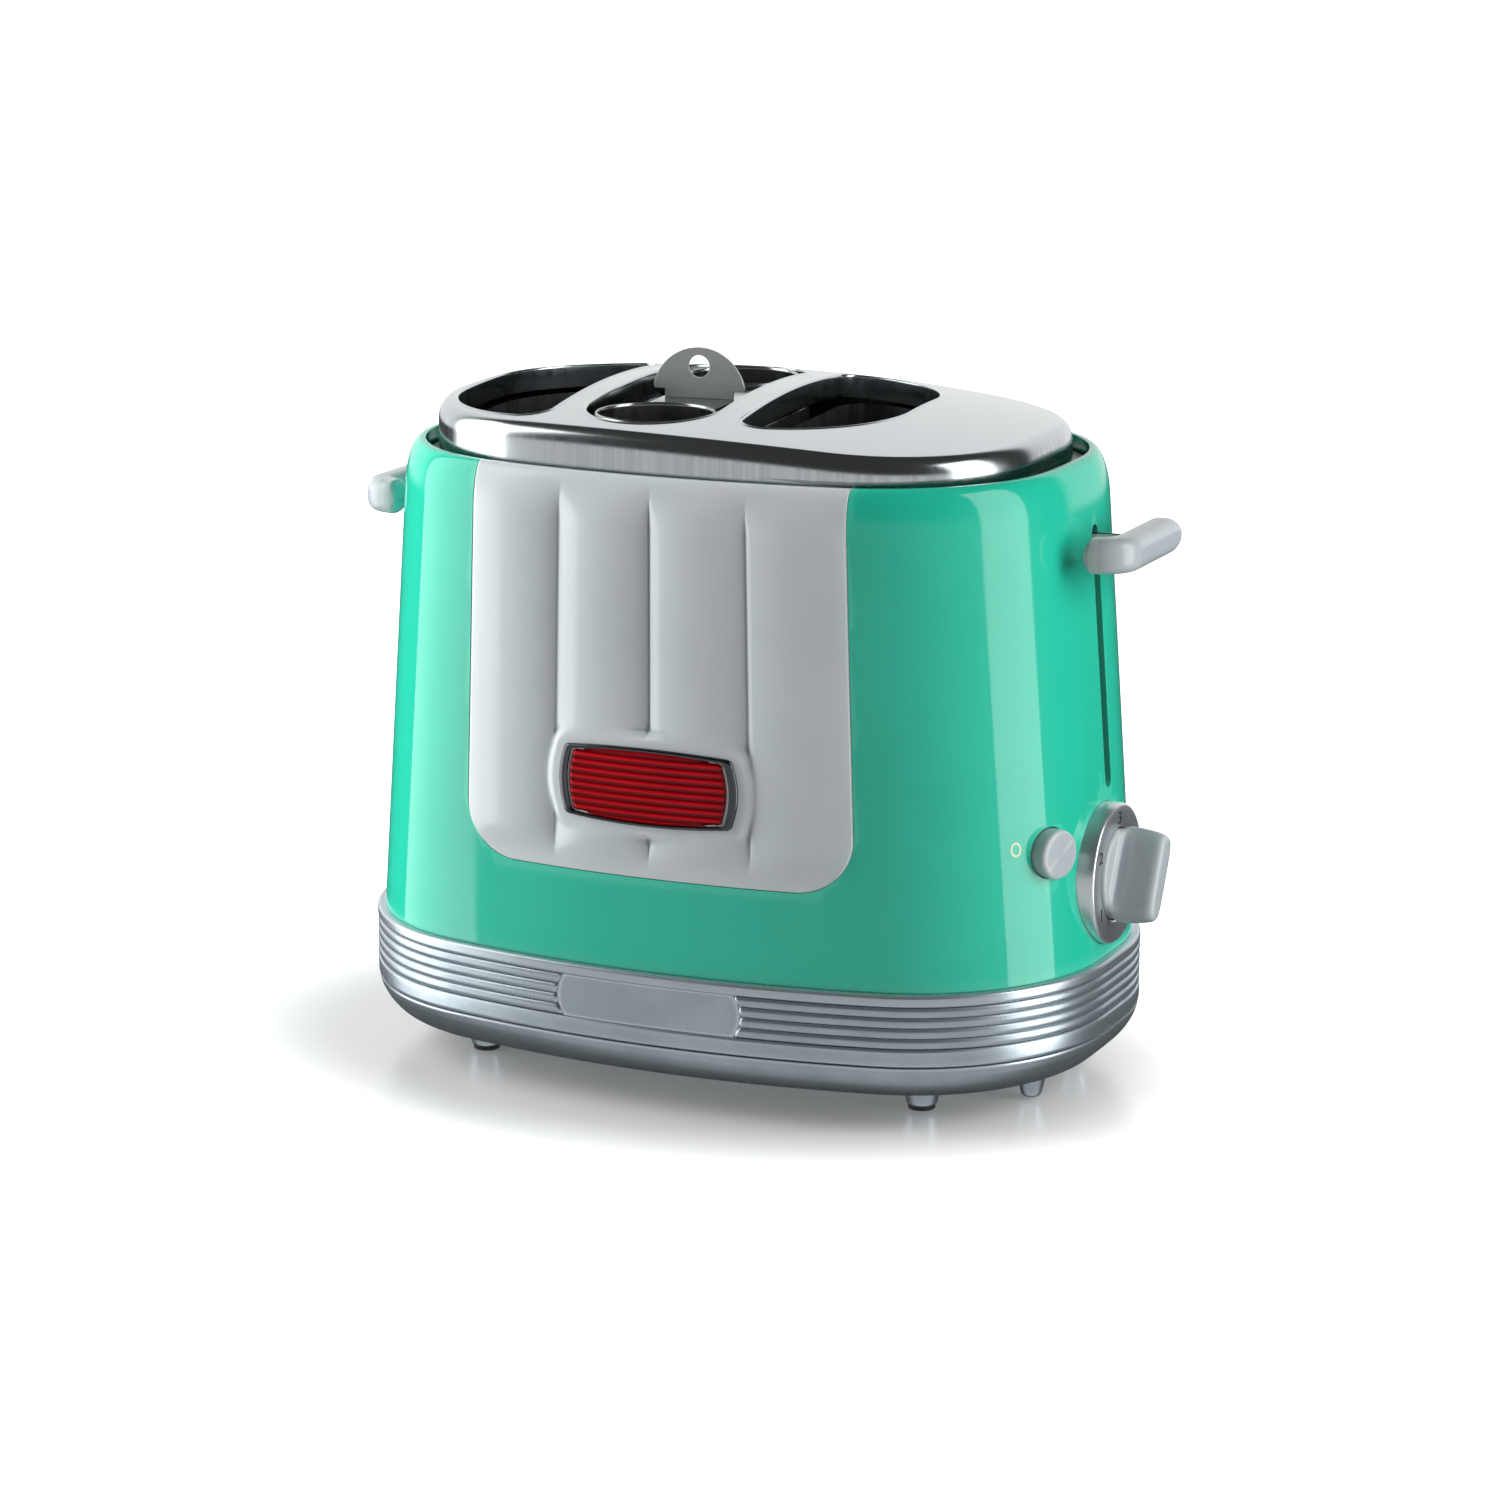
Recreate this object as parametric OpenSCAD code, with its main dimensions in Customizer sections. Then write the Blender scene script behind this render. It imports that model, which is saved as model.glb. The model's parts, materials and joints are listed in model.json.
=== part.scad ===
// Hot dog toaster: two bun wells, a lift-out sausage cage and a sprung carriage with a lever at each end.
// The front faces -Y, the timer end faces +X, and the feet stand on Z = 0.

/* [Body] */
// Half length of the body where it leaves the base
foot_half_x = 137.5; // [135:0.5:140]
// Half depth of the body where it leaves the base
foot_half_y = 90; // [88:0.5:92]
// Half length at the top, before the shoulder rounds over
top_half_x = 124.5; // [122:0.5:127]
// Half depth at the top, before the shoulder rounds over
top_half_y = 88.5; // [87:0.5:90]
// Plan radius of the long faces
face_radius = 370; // [340:10:420]
// Plan radius of the end faces
end_radius = 600; // [500:20:800]
// Plan radius of the corners
corner_radius = 72; // [68:1:74]
// Height where the body leaves the base
body_z = 50; // [48:0.5:52]
// Height of the body's rim
rim_z = 223.5; // [222:0.5:225]
// Thickness of the body's wall
wall = 2.5; // [2:0.1:2.6]
// How far the shoulder rounds inward
shoulder_in = 5.2; // [4:0.2:6]
// How far the shoulder rounds down
shoulder_drop = 16; // [12:1:20]
// Width of the flat rim
rim_land = 1.4; // [1:0.1:1.8]
// Height where the rim's inner lip ends
lip_z = 218.6; // [218.4:0.1:219.5]

/* [Front panel] */
// Half width of the fluted panel at its foot
panel_half_low = 74; // [70:0.5:76]
// Half width of the fluted panel at the rim
panel_half_top = 69.5; // [66:0.5:70]
// Height of the panel's lower edge
panel_z = 83.5; // [80:0.5:88]
// Radius of the panel's lower corners
panel_corner = 20; // [14:1:26]
// How far the crest of a flute stands out
flute_crest = 2; // [1:0.1:2.4]
// How deep the valley between two flutes lies
flute_valley = 1.4; // [0.4:0.1:1.6]
// Width of the badge
badge_w = 68.5; // [64:0.5:72]
// Height of the badge
badge_h = 31; // [28:0.5:33]
// Height of the badge's centre
badge_z = 116.5; // [114:0.5:119]

/* [Base] */
// Height of the underside of the pan
pan_z = 9.5; // [9:0.5:10]
// Height where the ribbed band sits on the pan
band_z = 24; // [23.5:0.5:24.5]
// How far the band stands out from the body
band_out = 3; // [2.4:0.1:3.4]
// Depth of the grooves between the ribs
rib_depth = 1; // [0.6:0.1:1.4]
// Half length of the bare plate on the band
plate_half_w = 32.5; // [28:0.5:36]
// Distance of the feet from the middle, along the length
foot_x = 86; // [82:1:90]
// Distance of the feet from the middle, along the depth
foot_y = 48; // [44:1:50]
// Radius of a foot at the pan
foot_r = 7; // [6:0.5:8]

/* [Lid] */
// Clearance between the rim and the lid's skirt, in front and behind
lid_gap = 2.4; // [2:0.1:3]
// Further clearance at the ends
lid_end_gap = 3.4; // [3:0.2:5]
// How far the lid sits towards the plain end
lid_shift = 0.5; // [0:0.1:1]
// Height of the lid's skirt above the floor
skirt_z = 217.9; // [217.9:0.1:218.4]
// Height of the lid at its crown
crown_z = 243; // [242:0.5:244]
// How far the lid's shoulder rounds down
lid_shoulder = 6.5; // [5:0.5:7]
// How far the lid's shoulder rounds inward
lid_in = 4.6; // [4:0.2:6.4]
// Thickness of the lid
lid_wall = 1.1; // [0.8:0.1:1.4]
// Fall of the lid along its length, per square millimetre
fall_x = 0.0006; // [0.0003:0.0001:0.0006]
// Fall of the lid along its depth, per square millimetre
fall_y = 0.001; // [0.0006:0.0001:0.001]

/* [Openings] */
// Where the group of openings is centred, along the length
group_x = -22; // [-24:0.5:-20]
// Turn of the group of openings
group_turn = 5; // [4:0.5:8]
// Distance of a bun well's flat side from the group's centre
well_flat = 35.5; // [35.5:0.5:37]
// Radius of a bun well's round side
well_r = 47.5; // [45:0.5:48]
// Distance between the two round centres of a bun well
well_pitch = 29; // [26:1:30]
// Radius of the inner corners of a bun well
well_corner = 9; // [6:0.5:10]
// Half width of the cage's opening
cage_slot_r = 24.2; // [24:0.1:24.6]
// Distance between the round ends of the cage's opening
cage_slot_pitch = 87; // [86:0.5:90]
// Depth of the turned-down edges
flange_h = 8; // [6:0.5:9]

/* [Cage] */
// Inner radius of a sausage cup
cup_r = 20; // [18:0.5:20]
// Distance between the two cups
cup_pitch = 89; // [86:1:90]
// Thickness of the cups
cup_wall = 0.8; // [0.6:0.1:1]
// Height of the cups' rims with the carriage up
cup_z = 239; // [238:0.5:240]
// Radius of the half-round tab
tab_r = 17.6; // [15:0.2:19]
// Diameter of the hole in the tab
tab_hole = 8; // [6:0.5:9]

/* [Carriage] */
// How far the carriage goes down
travel = 80; // [60:1:80]
// Height of the bun rests with the carriage up
rest_z = 114.6; // [114.6:0.1:118]
// Height of the lever arms with the carriage up
arm_z = 194.5; // [192:0.5:196]
// Place of the lever slots along the depth
slot_y = 7.5; // [5:0.5:9]
// Width of the lever slots
slot_w = 6; // [5:0.5:7]
// Thickness of the lever arms
arm_t = 3.6; // [3:0.1:4]
// Length of a lever, end to end
lever_l = 76; // [66:1:80]
// Thickness of a lever
lever_t = 12; // [10:0.5:13]
// Height of a lever
lever_h = 12.5; // [11:0.5:13]
// Place of a lever's middle along the depth
lever_y = 0.5; // [-2:0.5:3]
// Height of a lever's middle over its arm
lever_lift = 1.5; // [0:0.5:2]
// Radius of the bow of a lever, in plan
lever_bow = 56; // [54:1:70]
// Radius of the guide rods
rod_r = 2.5; // [2:0.1:3]

/* [Controls] */
// Height of the dial's centre
dial_z = 79.2; // [77:0.2:82]
// Radius of the dial's ring
dial_r = 25; // [22:0.5:25]
// Distance of the dial's face from the middle of the toaster
dial_face_x = 140; // [139:0.2:141]
// Distance of the knob's outer face from the middle of the toaster
knob_face_x = 156.5; // [153:0.5:158]
// Length of the knob's blade
knob_l = 34; // [30:1:36]
// Thickness of the knob's blade
knob_t = 12; // [10:0.5:13]
// Turn of the knob's blade from upright, its top towards the rear
knob_turn = 27; // [20:1:34]
// Height of the stop button
button_z = 94.6; // [92:0.2:97]
// Radius of the stop button
button_r = 8.7; // [7:0.1:9]
// Turn of the stop button from the end towards the front
button_turn = 22; // [18:1:26]
// How far the stop button goes in
button_travel = 3; // [2:0.5:3]

/* [Crumb tray] */
// Lowest end of the tray along the length
tray_x0 = -107; // [-109:1:-104]
// Highest end of the tray along the length
tray_x1 = 61; // [56:1:62]
// Front edge of the tray
tray_y0 = -66; // [-68:1:-60]

/* [Hidden] */

teal = [0.13, 0.72, 0.62];
cream = [0.93, 0.93, 0.91];
silver = [0.72, 0.73, 0.74];
steel = [0.62, 0.63, 0.64];
galvanised = [0.7, 0.71, 0.7];
dark_plastic = [0.12, 0.12, 0.13];
ruby = [0.66, 0.04, 0.06];
mica = [0.78, 0.72, 0.6];
green_board = [0.1, 0.35, 0.2];

end_steps = 3;
corner_steps = 9;
face_steps = 6;
fit = 0.3;
floor_z = 31.5;
sheet = 1.2;
top_sheet_z = lip_z - 1.9;
liner_top_z = 228;
far = 300;

// ---- plan outline: one quarter is three tangent arcs, which the other quarters mirror ----

function lerp(a, b, t) = a + (b - a) * t;
function body_a(z) = lerp(foot_half_x, top_half_x, (z - body_z) / (rim_z - body_z));
function body_b(z) = lerp(foot_half_y, top_half_y, (z - body_z) / (rim_z - body_z));

// Centre of the corner arc, tangent inside both the face arc and the end arc
function corner_centre(a, b) =
    let (face_y = b - face_radius, end_x = a - end_radius)
    let (rf = face_radius - corner_radius, re = end_radius - corner_radius)
    let (d = norm([end_x, face_y]), e = [end_x, -face_y] / d)
    let (k = (rf * rf - re * re + d * d) / (2 * d), h = sqrt(rf * rf - k * k))
    [k * e.x + h * e.y, face_y + k * e.y - h * e.x];

function arc(c, r, a0, a1, n) = [for (i = [0:n - 1]) let (t = lerp(a0, a1, i / n)) c + r * [cos(t), sin(t)]];

function quarter(a, b, off) =
    let (c = corner_centre(a, b), face_y = b - face_radius, end_x = a - end_radius)
    let (t1 = atan2(c.y, c.x - end_x), t2 = atan2(c.y - face_y, c.x))
    concat(arc([end_x, 0], end_radius + off, 0, t1, end_steps),
        arc(c, corner_radius + off, t1, t2, corner_steps),
        arc([0, face_y], face_radius + off, t2, 90, face_steps),
        [[0, b + off]]);

function outline(a, b, off = 0) =
    let (q = quarter(a, b, off), n = len(q) - 1)
    [for (i = [0:4 * n - 1]) let (s = floor(i / n), j = i % n)
        s == 0 ? q[j] : s == 1 ? [-q[n - j].x, q[n - j].y] : s == 2 ? -q[j] : [q[n - j].x, -q[n - j].y]];

function lift(points, z) = [for (p = points) [p.x, p.y, z]];
function body_ring(off, z) = lift(outline(body_a(z), body_b(z), off), z);
function base_ring(off, z) = lift(outline(foot_half_x, foot_half_y, off), z);

// ---- solids through rings of points ----

function band_faces(k0, k1, n) = [for (i = [0:n - 1]) let (j = (i + 1) % n)
    each [[k0 * n + i, k1 * n + i, k1 * n + j], [k0 * n + i, k1 * n + j, k0 * n + j]]];

// Closed solid: the rings are joined in order, and the first and last are capped
module loft(rings) {
    n = len(rings[0]);
    m = len(rings);
    polyhedron([for (r = rings) each r],
        concat([[for (i = [0:n - 1]) i]],
            [for (k = [0:m - 2]) each band_faces(k, k + 1, n)],
            [[for (i = [n - 1:-1:0]) (m - 1) * n + i]]), convexity = 8);
}

// Closed tube: the outer rings go up, the inner rings come down, and the last joins the first
module ring_loft(rings) {
    n = len(rings[0]);
    m = len(rings);
    polyhedron([for (r = rings) each r],
        [for (k = [0:m - 1]) each band_faces(k, (k + 1) % m, n)], convexity = 8);
}

// ---- openings in the lid, in the turned frame of the group ----

module group() {
    translate([group_x, 0, 0]) rotate(group_turn) children();
}

function turned(p) = [group_x + p.x * cos(group_turn) - p.y * sin(group_turn),
    p.x * sin(group_turn) + p.y * cos(group_turn)];

// Bun well on the +X side: a flat inner side, two round shoulders and small inner corners
function well(off = 0) =
    let (reach = well_r - well_corner, half = well_pitch / 2)
    let (t = acos(well_corner / reach), cy = half + reach * sin(t))
    let (inner = [well_flat + well_corner, cy])
    let (upper = concat(arc([well_flat, half], well_r + off, 0, t, 8),
        arc(inner, well_corner + off, t, 180, 4), [[well_flat - off, cy]]))
    concat(upper, [for (i = [len(upper) - 1:-1:0]) [upper[i].x, -upper[i].y]]);

function slot(off = 0) =
    let (half = cage_slot_pitch / 2)
    concat(arc([0, half], cage_slot_r + off, 0, 180, 12), [[-cage_slot_r - off, half]],
        arc([0, -half], cage_slot_r + off, 180, 360, 12), [[cage_slot_r + off, -half]]);

function flip(points) = [for (p = points) -p];

// Top of the lid over a point in plan
function crown(p) = crown_z - fall_x * (p.x - group_x) * (p.x - group_x) - fall_y * p.y * p.y;

// ---- base ----

// Profile of the ribbed band, as offset from the body's foot and height, from the bottom up
rib_z0 = 30.8;
rib_pitch = 3.7;
rib_count = 4;
band_profile = concat(
    [[band_out - 1.2, band_z + 0.3], [band_out - 0.1, band_z + 1.6], [band_out - 0.1, rib_z0 - 2],
        [band_out - rib_depth, rib_z0]],
    [for (i = [0:rib_count - 1]) each [
        [band_out - 0.15, rib_z0 + (i + 0.28) * rib_pitch],
        [band_out - 0.15, rib_z0 + (i + 0.72) * rib_pitch],
        [band_out - rib_depth, rib_z0 + (i + 1) * rib_pitch]]],
    [[band_out, 47], [band_out - 0.3, body_z - 0.8], [0.9, body_z]]);

module tray_gap(room) {
    translate([tray_x0 - room, 40, band_z - 2])
        cube([tray_x1 - tray_x0 + 2 * room, 80, 8.5 + room]);
}

module band_body() {
    ring_loft(concat([for (p = band_profile) base_ring(p.x, p.y)],
        [base_ring(-1, body_z), base_ring(-1, band_z), base_ring(band_out - 1.6, band_z)]));
}

// Curved slab that follows the band's front
function slab(off0, off1, half_w, n = 8) =
    let (y0 = foot_half_y - face_radius, r0 = face_radius + off0, r1 = face_radius + off1)
    concat([for (i = [0:n]) let (x = lerp(-half_w, half_w, i / n)) [x, -y0 - sqrt(r1 * r1 - x * x)]],
        [for (i = [n:-1:0]) let (x = lerp(-half_w, half_w, i / n)) [x, -y0 - sqrt(r0 * r0 - x * x)]]);

plate_in = 0.9;

module base_band() {
    color(silver) difference() {
        band_body();
        tray_gap(0.4);
        translate([0, 0, rib_z0 - 0.2])
            linear_extrude(rib_count * rib_pitch + 0.4) polygon(slab(plate_in, 8, plate_half_w));
        translate([inlet_x, 60, inlet_z]) rotate([-90, 0, 0]) cylinder(r = inlet_r + 0.1, h = 60, $fn = 40);
    }
}

module front_plate() {
    color(silver) translate([0, 0, rib_z0 - 0.2])
        linear_extrude(rib_count * rib_pitch + 0.4)
            polygon(slab(plate_in, band_out - rib_depth, plate_half_w));
}

post_spots = [[-117, -24], [-117, 24], [78, -60], [78, 60], [118, 0]];
foot_spots = [for (sx = [-1, 1], sy = [-1, 1]) [sx * foot_x, sy * foot_y]];
hook_spots = [for (sy = [-1, 1]) [117, sy * 22]];
post_r = 4;
stud_r = 2;
head_r = 3;
head_z = pan_z + 0.9;
head_h = 1.9;
shank_r = 1.5;
rib_w = 2;

// Ribs inside the pan that carry the crumb tray
module tray_ribs() {
    for (x = [tray_x0 + 8, tray_x1 - 8 - rib_w]) translate([x, -54, pan_z + 1])
        cube([rib_w, 108, band_z + 0.4 - pan_z - 1]);
}

module base_pan() {
    color(silver) difference() {
        union() {
            loft([base_ring(-22, pan_z), base_ring(-11, 10.4), base_ring(-5, 12.6), base_ring(-1.2, 16),
                base_ring(band_out - 1.6, 20), base_ring(band_out - 0.5, band_z - 1),
                base_ring(band_out - 0.5, band_z), base_ring(-3, band_z),
                base_ring(-8, pan_z + wall + 3), base_ring(-20, pan_z + wall)]);
            for (s = post_spots) translate([s.x, s.y, pan_z + 1])
                cylinder(r = post_r, h = floor_z - pan_z - 1, $fn = 32);
            tray_ribs();
        }
        for (s = concat(foot_spots, hook_spots)) translate([s.x, s.y, pan_z - 1])
            cylinder(r = stud_r, h = 10, $fn = 24);
        for (s = post_spots) translate([s.x, s.y, pan_z - 1]) {
            cylinder(r = head_r + 0.1, h = head_z + head_h - pan_z + 1, $fn = 32);
            cylinder(r = shank_r + 0.05, h = 30, $fn = 24);
        }
    }
}

pad_h = 1.6;

module feet() {
    color(silver) for (s = foot_spots) translate([s.x, s.y, 0]) {
        translate([0, 0, pad_h]) cylinder(r1 = foot_r - 1.6, r2 = foot_r, h = pan_z - pad_h, $fn = 48);
        translate([0, 0, pan_z]) cylinder(r = stud_r - 0.05, h = 4, $fn = 24);
    }
}

module foot_pads() {
    color(dark_plastic) for (s = foot_spots) translate([s.x, s.y, 0])
        cylinder(r = foot_r - 2.2, h = pad_h, $fn = 48);
}

// Tapered pegs under the timer end, which the cord winds round
module cord_hooks() {
    hook_h = pan_z - 1.3;
    color(silver) for (s = hook_spots) translate([s.x, s.y, 1.2]) {
        cylinder(r1 = 3.2, r2 = 5.2, h = hook_h, $fn = 40);
        cylinder(r = 3.8, h = 1.4, $fn = 40);
        translate([0, 0, hook_h]) cylinder(r = stud_r - 0.05, h = 4, $fn = 24);
    }
}

inlet_x = 92;
inlet_y = 68;
inlet_z = 41.2;
inlet_r = 6;

module cord_inlet() {
    color(dark_plastic) translate([inlet_x, inlet_y, inlet_z]) rotate([-90, 0, 0]) difference() {
        union() {
            cylinder(r = inlet_r, h = 16, $fn = 40);
            cylinder(r = inlet_r + 2, h = 3, $fn = 40);
        }
        translate([0, 0, -1]) cylinder(r = 3.6, h = 30, $fn = 40);
    }
}

module housing_screws() {
    color(steel) for (s = post_spots) translate([s.x, s.y, head_z]) {
        cylinder(r = head_r, h = head_h, $fn = 32);
        cylinder(r = shank_r, h = 14, $fn = 24);
    }
}

// ---- body and front panel ----

shoulder_z = rim_z - shoulder_drop;
// Height steps round the shoulder, as turns of its quarter ellipse
shoulder_turns = [0, 20, 38, 54, 68, 80, 90];

function shoulder_off(t) = -shoulder_in * (1 - cos(t));
function shoulder_level(t) = shoulder_z + shoulder_drop * sin(t);

inner_profile = [[-shoulder_in - rim_land, rim_z], [-shoulder_in - rim_land, lip_z],
    [-wall - 1.6, lip_z - 3.4], [-wall, shoulder_z - 4]];

// Outline of the panel, seen from the front: upright sides that lean in, and round lower corners
module panel_window() {
    lean = (panel_half_top - panel_half_low) / (rim_z - panel_z);
    foot = panel_z + panel_corner;
    rise = 160;
    rotate([90, 0, 0]) translate([0, 0, 60]) linear_extrude(60) union() {
        polygon([[-panel_half_low, foot], [panel_half_low, foot],
            [panel_half_low + lean * rise, foot + rise], [-panel_half_low - lean * rise, foot + rise]]);
        translate([-panel_half_low + panel_corner, panel_z])
            square([2 * (panel_half_low - panel_corner), panel_corner + 1]);
        for (s = [-1, 1]) translate([s * (panel_half_low - panel_corner), foot])
            circle(r = panel_corner, $fn = 96);
    }
}

module body_shell() {
    color(teal) difference() {
        ring_loft(concat([body_ring(0, body_z)],
            [for (t = shoulder_turns) body_ring(shoulder_off(t), shoulder_level(t))],
            [for (p = inner_profile) body_ring(p.x, p.y)],
            [body_ring(-wall, body_z)]));
        panel_window();
        for (side = [-1, 1]) lever_slot(side);
        translate([110, 0, dial_z]) rotate([0, 90, 0]) cylinder(r = dial_r + 0.15, h = 40, $fn = 96);
        button_frame() translate([0, 0, -12]) cylinder(r = button_r + 0.4, h = 24, $fn = 64);
        for (z = [60:6:96]) rear_vent(z);
    }
}

module rear_vent(z) {
    translate([-40, 70, z]) cube([80, 40, 2.4]);
}

// Full-height slot in an end wall, with round ends
module lever_slot(side) {
    top = arm_z + arm_h / 2;
    bottom = arm_z - travel - arm_h / 2 + 0.5;
    translate([side * 128, slot_y, 0]) {
        translate([-14, -slot_w / 2, bottom]) cube([28, slot_w, top - bottom]);
        for (z = [bottom, top]) translate([-14, 0, z]) rotate([0, 90, 0])
            cylinder(r = slot_w / 2, h = 28, $fn = 32);
    }
}

// Smooth step from 0 to 1 between two heights
function ease(z, z0, z1) = let (t = min(1, max(0, (z - z0) / (z1 - z0)))) t * t * (3 - 2 * t);

// Height of the fluted face over the plain face, across s from -1 to 1
function flute(s, z) =
    let (t = (s + 1) * 2, k = min(3, max(0, floor(t))), u = 2 * (t - k) - 1)
    let (side = (k == 0 && u < 0) || (k == 3 && u > 0))
    let (low = side ? 0 : -flute_valley)
    let (body = low + (flute_crest - low) * pow(max(0, 1 - u * u), 0.7))
    abs(s) >= 1 ? 0 : body * ease(z, panel_z + 2, panel_z + 22) * (1 - ease(z, rim_z - 18, rim_z - 1));

function panel_half(z) = lerp(panel_half_low, panel_half_top,
    (z - panel_z - panel_corner) / (rim_z - panel_z - panel_corner));

function face_y(x, z, off) = let (r = face_radius + off)
    -(body_b(z) - face_radius + sqrt(r * r - x * x));

function panel_point(s, z, off, rise) = let (x = s * panel_half(z)) [x, face_y(x, z, off) - rise, z];

// Heights of the panel's face below the shoulder
panel_levels = [panel_z - 4, panel_z + 4, panel_z + 10, panel_z + 16, panel_z + 24];
panel_back = 2.3;

function panel_loop(s) = concat(
    [for (z = panel_levels) panel_point(s, z, 0, flute(s, z))],
    [for (t = shoulder_turns) let (z = shoulder_level(t)) panel_point(s, z, shoulder_off(t), flute(s, z))],
    [panel_point(s, rim_z, -shoulder_in - rim_land, 0), panel_point(s, lip_z, -shoulder_in - rim_land, 0),
        panel_point(s, lip_z - 3.4, -panel_back - 1.8, 0), panel_point(s, shoulder_z - 4, -panel_back, 0),
        panel_point(s, panel_z - 4, -panel_back, 0)]);

flute_cols = 28;

// Height of the badge's back, its face and the boss round it, in front of the middle
badge_back = foot_half_y - 1;
badge_front = foot_half_y + band_out;
boss_front = badge_front - 1.4;
top_bow = 3;
lens_back = badge_back + 1;

// One quarter of a barrel: bowed right side, round corner and bowed top
function barrel_quarter(w, h, bow, r) =
    let (c = [w / 2 - bow - r, h / 2 - top_bow - r])
    concat([for (k = [0:3]) [w / 2 - bow * pow(k / 4, 2), c.y * k / 4]],
        arc(c, r, 0, 90, 6),
        [for (k = [4:-1:1]) [c.x * k / 4, h / 2 - top_bow * pow(k / 4, 2)]]);

function barrel(w, h, bow, r) =
    let (q = barrel_quarter(w, h, bow, r), n = len(q))
    concat(q, [[0, h / 2]], [for (i = [n - 1:-1:1]) [-q[i].x, q[i].y]], [[-w / 2, 0]],
        [for (i = [1:n - 1]) -q[i]], [[0, -h / 2]], [for (i = [n - 1:-1:1]) [q[i].x, -q[i].y]]);

// Upright plate in the outline of a barrel, from y0 to y1 in front of the middle
module barrel_plate(w, h, bow, r, y0, y1) {
    translate([0, -y0, badge_z]) rotate([90, 0, 0]) linear_extrude(y1 - y0) polygon(barrel(w, h, bow, r));
}

module front_panel() {
    color(cream) difference() {
        union() {
            intersection() {
                loft([for (i = [-1:flute_cols + 1]) panel_loop(lerp(1, -1, i / flute_cols))]);
                panel_window();
            }
            barrel_plate(badge_w + 8, badge_h + 8, 2.6, 7, badge_back - 1.6, boss_front);
        }
        barrel_plate(badge_w + 0.2, badge_h + 0.2, 2.6, 3, badge_back, badge_front + 1);
    }
}

module badge_frame() {
    color(dark_plastic) difference() {
        barrel_plate(badge_w, badge_h, 2.6, 3, badge_back, badge_front);
        barrel_plate(badge_w - 7, badge_h - 2.8, 2, 2.2, lens_back, badge_front + 1);
    }
}

module badge_lens() {
    color(ruby) barrel_plate(badge_w - 7.2, badge_h - 3, 2, 2.2, lens_back, badge_front - 0.4);
}

// ---- lid ----

lid_off = -shoulder_in - rim_land - lid_gap;
lid_turns = [0, 30, 60, 90];
lid_shrinks = [0.8, 0.55, 0.28];

function lid_plan(off) = [for (p = outline(top_half_x - lid_end_gap, top_half_y, lid_off + off))
    [p.x - lid_shift, p.y]];
function lid_ring(off, drop) = [for (p = lid_plan(off)) [p.x, p.y, crown(p) - drop]];
function lid_inner_ring(k, drop) = [for (p = lid_plan(-lid_in))
    let (q = p * k) [q.x, q.y, crown(q) - drop]];

module lid_shell() {
    loft(concat(
        [for (i = [len(lid_shrinks) - 1:-1:0]) lid_inner_ring(lid_shrinks[i], lid_wall)],
        [lid_ring(-lid_in, lid_wall), lid_ring(-lid_wall - 1, 3.4), lid_ring(-lid_wall, lid_shoulder)],
        [lift(lid_plan(-lid_wall), skirt_z), lift(lid_plan(0), skirt_z)],
        [for (t = lid_turns) lid_ring(-lid_in * (1 - cos(t)), lid_shoulder * (1 - sin(t)))],
        [for (k = lid_shrinks) lid_inner_ring(k, 0)]));
}

// Turned-down edge round an opening, given in the group's frame
module flange(inside, outside) {
    ring_loft([
        [for (p = outside) let (q = turned(p)) [q.x, q.y, crown(q) - flange_h]],
        [for (p = outside) let (q = turned(p)) [q.x, q.y, crown(q) + 0.4]],
        [for (p = inside) let (q = turned(p)) [q.x, q.y, crown(q) + 0.4]],
        [for (p = inside) let (q = turned(p)) [q.x, q.y, crown(q) - flange_h]]]);
}

module lid_cover() {
    color(steel) union() {
        difference() {
            lid_shell();
            group() translate([0, 0, 180]) linear_extrude(100) {
                polygon(well(0.7));
                polygon(flip(well(0.7)));
                polygon(slot(0.7));
            }
        }
        flange(well(0), well(1));
        flange(flip(well(0)), flip(well(1)));
        flange(slot(0), slot(1));
    }
}

// ---- chassis inside ----

module openings_2d(off) {
    polygon(well(off));
    polygon(flip(well(off)));
    polygon(slot(off));
}

rod_spots = [[-115, -14], [79, -20]];
spring_spots = [[-112.6, 29], [79, 36]];

module chassis_floor() {
    color(galvanised) translate([0, 0, floor_z]) linear_extrude(sheet) difference() {
        polygon(outline(foot_half_x, foot_half_y, -wall - 2));
        group() openings_2d(-3);
    }
}

module chassis_top() {
    color(galvanised) translate([0, 0, top_sheet_z]) linear_extrude(sheet) difference() {
        polygon(outline(top_half_x, top_half_y, -shoulder_in - rim_land - fit));
        group() openings_2d(1.3);
    }
}

// Sheet wall along an outline, open where the carriage and the heat pass
module well_liner(side) {
    color(steel) group() difference() {
        translate([0, 0, floor_z + sheet]) linear_extrude(liner_top_z - floor_z - sheet) difference() {
            polygon(side > 0 ? well(1) : flip(well(1)));
            polygon(side > 0 ? well(0.2) : flip(well(0.2)));
        }
        translate([side * well_flat - 6, -50, heat_z0]) cube([12, 100, heat_h]);
        tongue_slot(side * tongue_u);
    }
}

// Window in the liners that lets the heat through
heat_z0 = 42;
heat_h = 166;
tongue_w = 10;
tongue_u = 56;

// Slots in front and behind for the tongues of a rest
module tongue_slot(u) {
    translate([u - tongue_w / 2 - 0.6, -90, floor_z]) cube([tongue_w + 1.2, 180, rest_z - floor_z + 2]);
}

module cage_liner() {
    color(steel) group() difference() {
        translate([0, 0, floor_z + sheet]) linear_extrude(liner_top_z - floor_z - sheet) difference() {
            polygon(slot(1));
            polygon(slot(0.2));
        }
        translate([-30, -43, heat_z0]) cube([60, 86, heat_h]);
        tongue_slot(0);
    }
}

board_u = 29.8;
board_z0 = 44;
board_h = 164;
board_half = 58;

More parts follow.
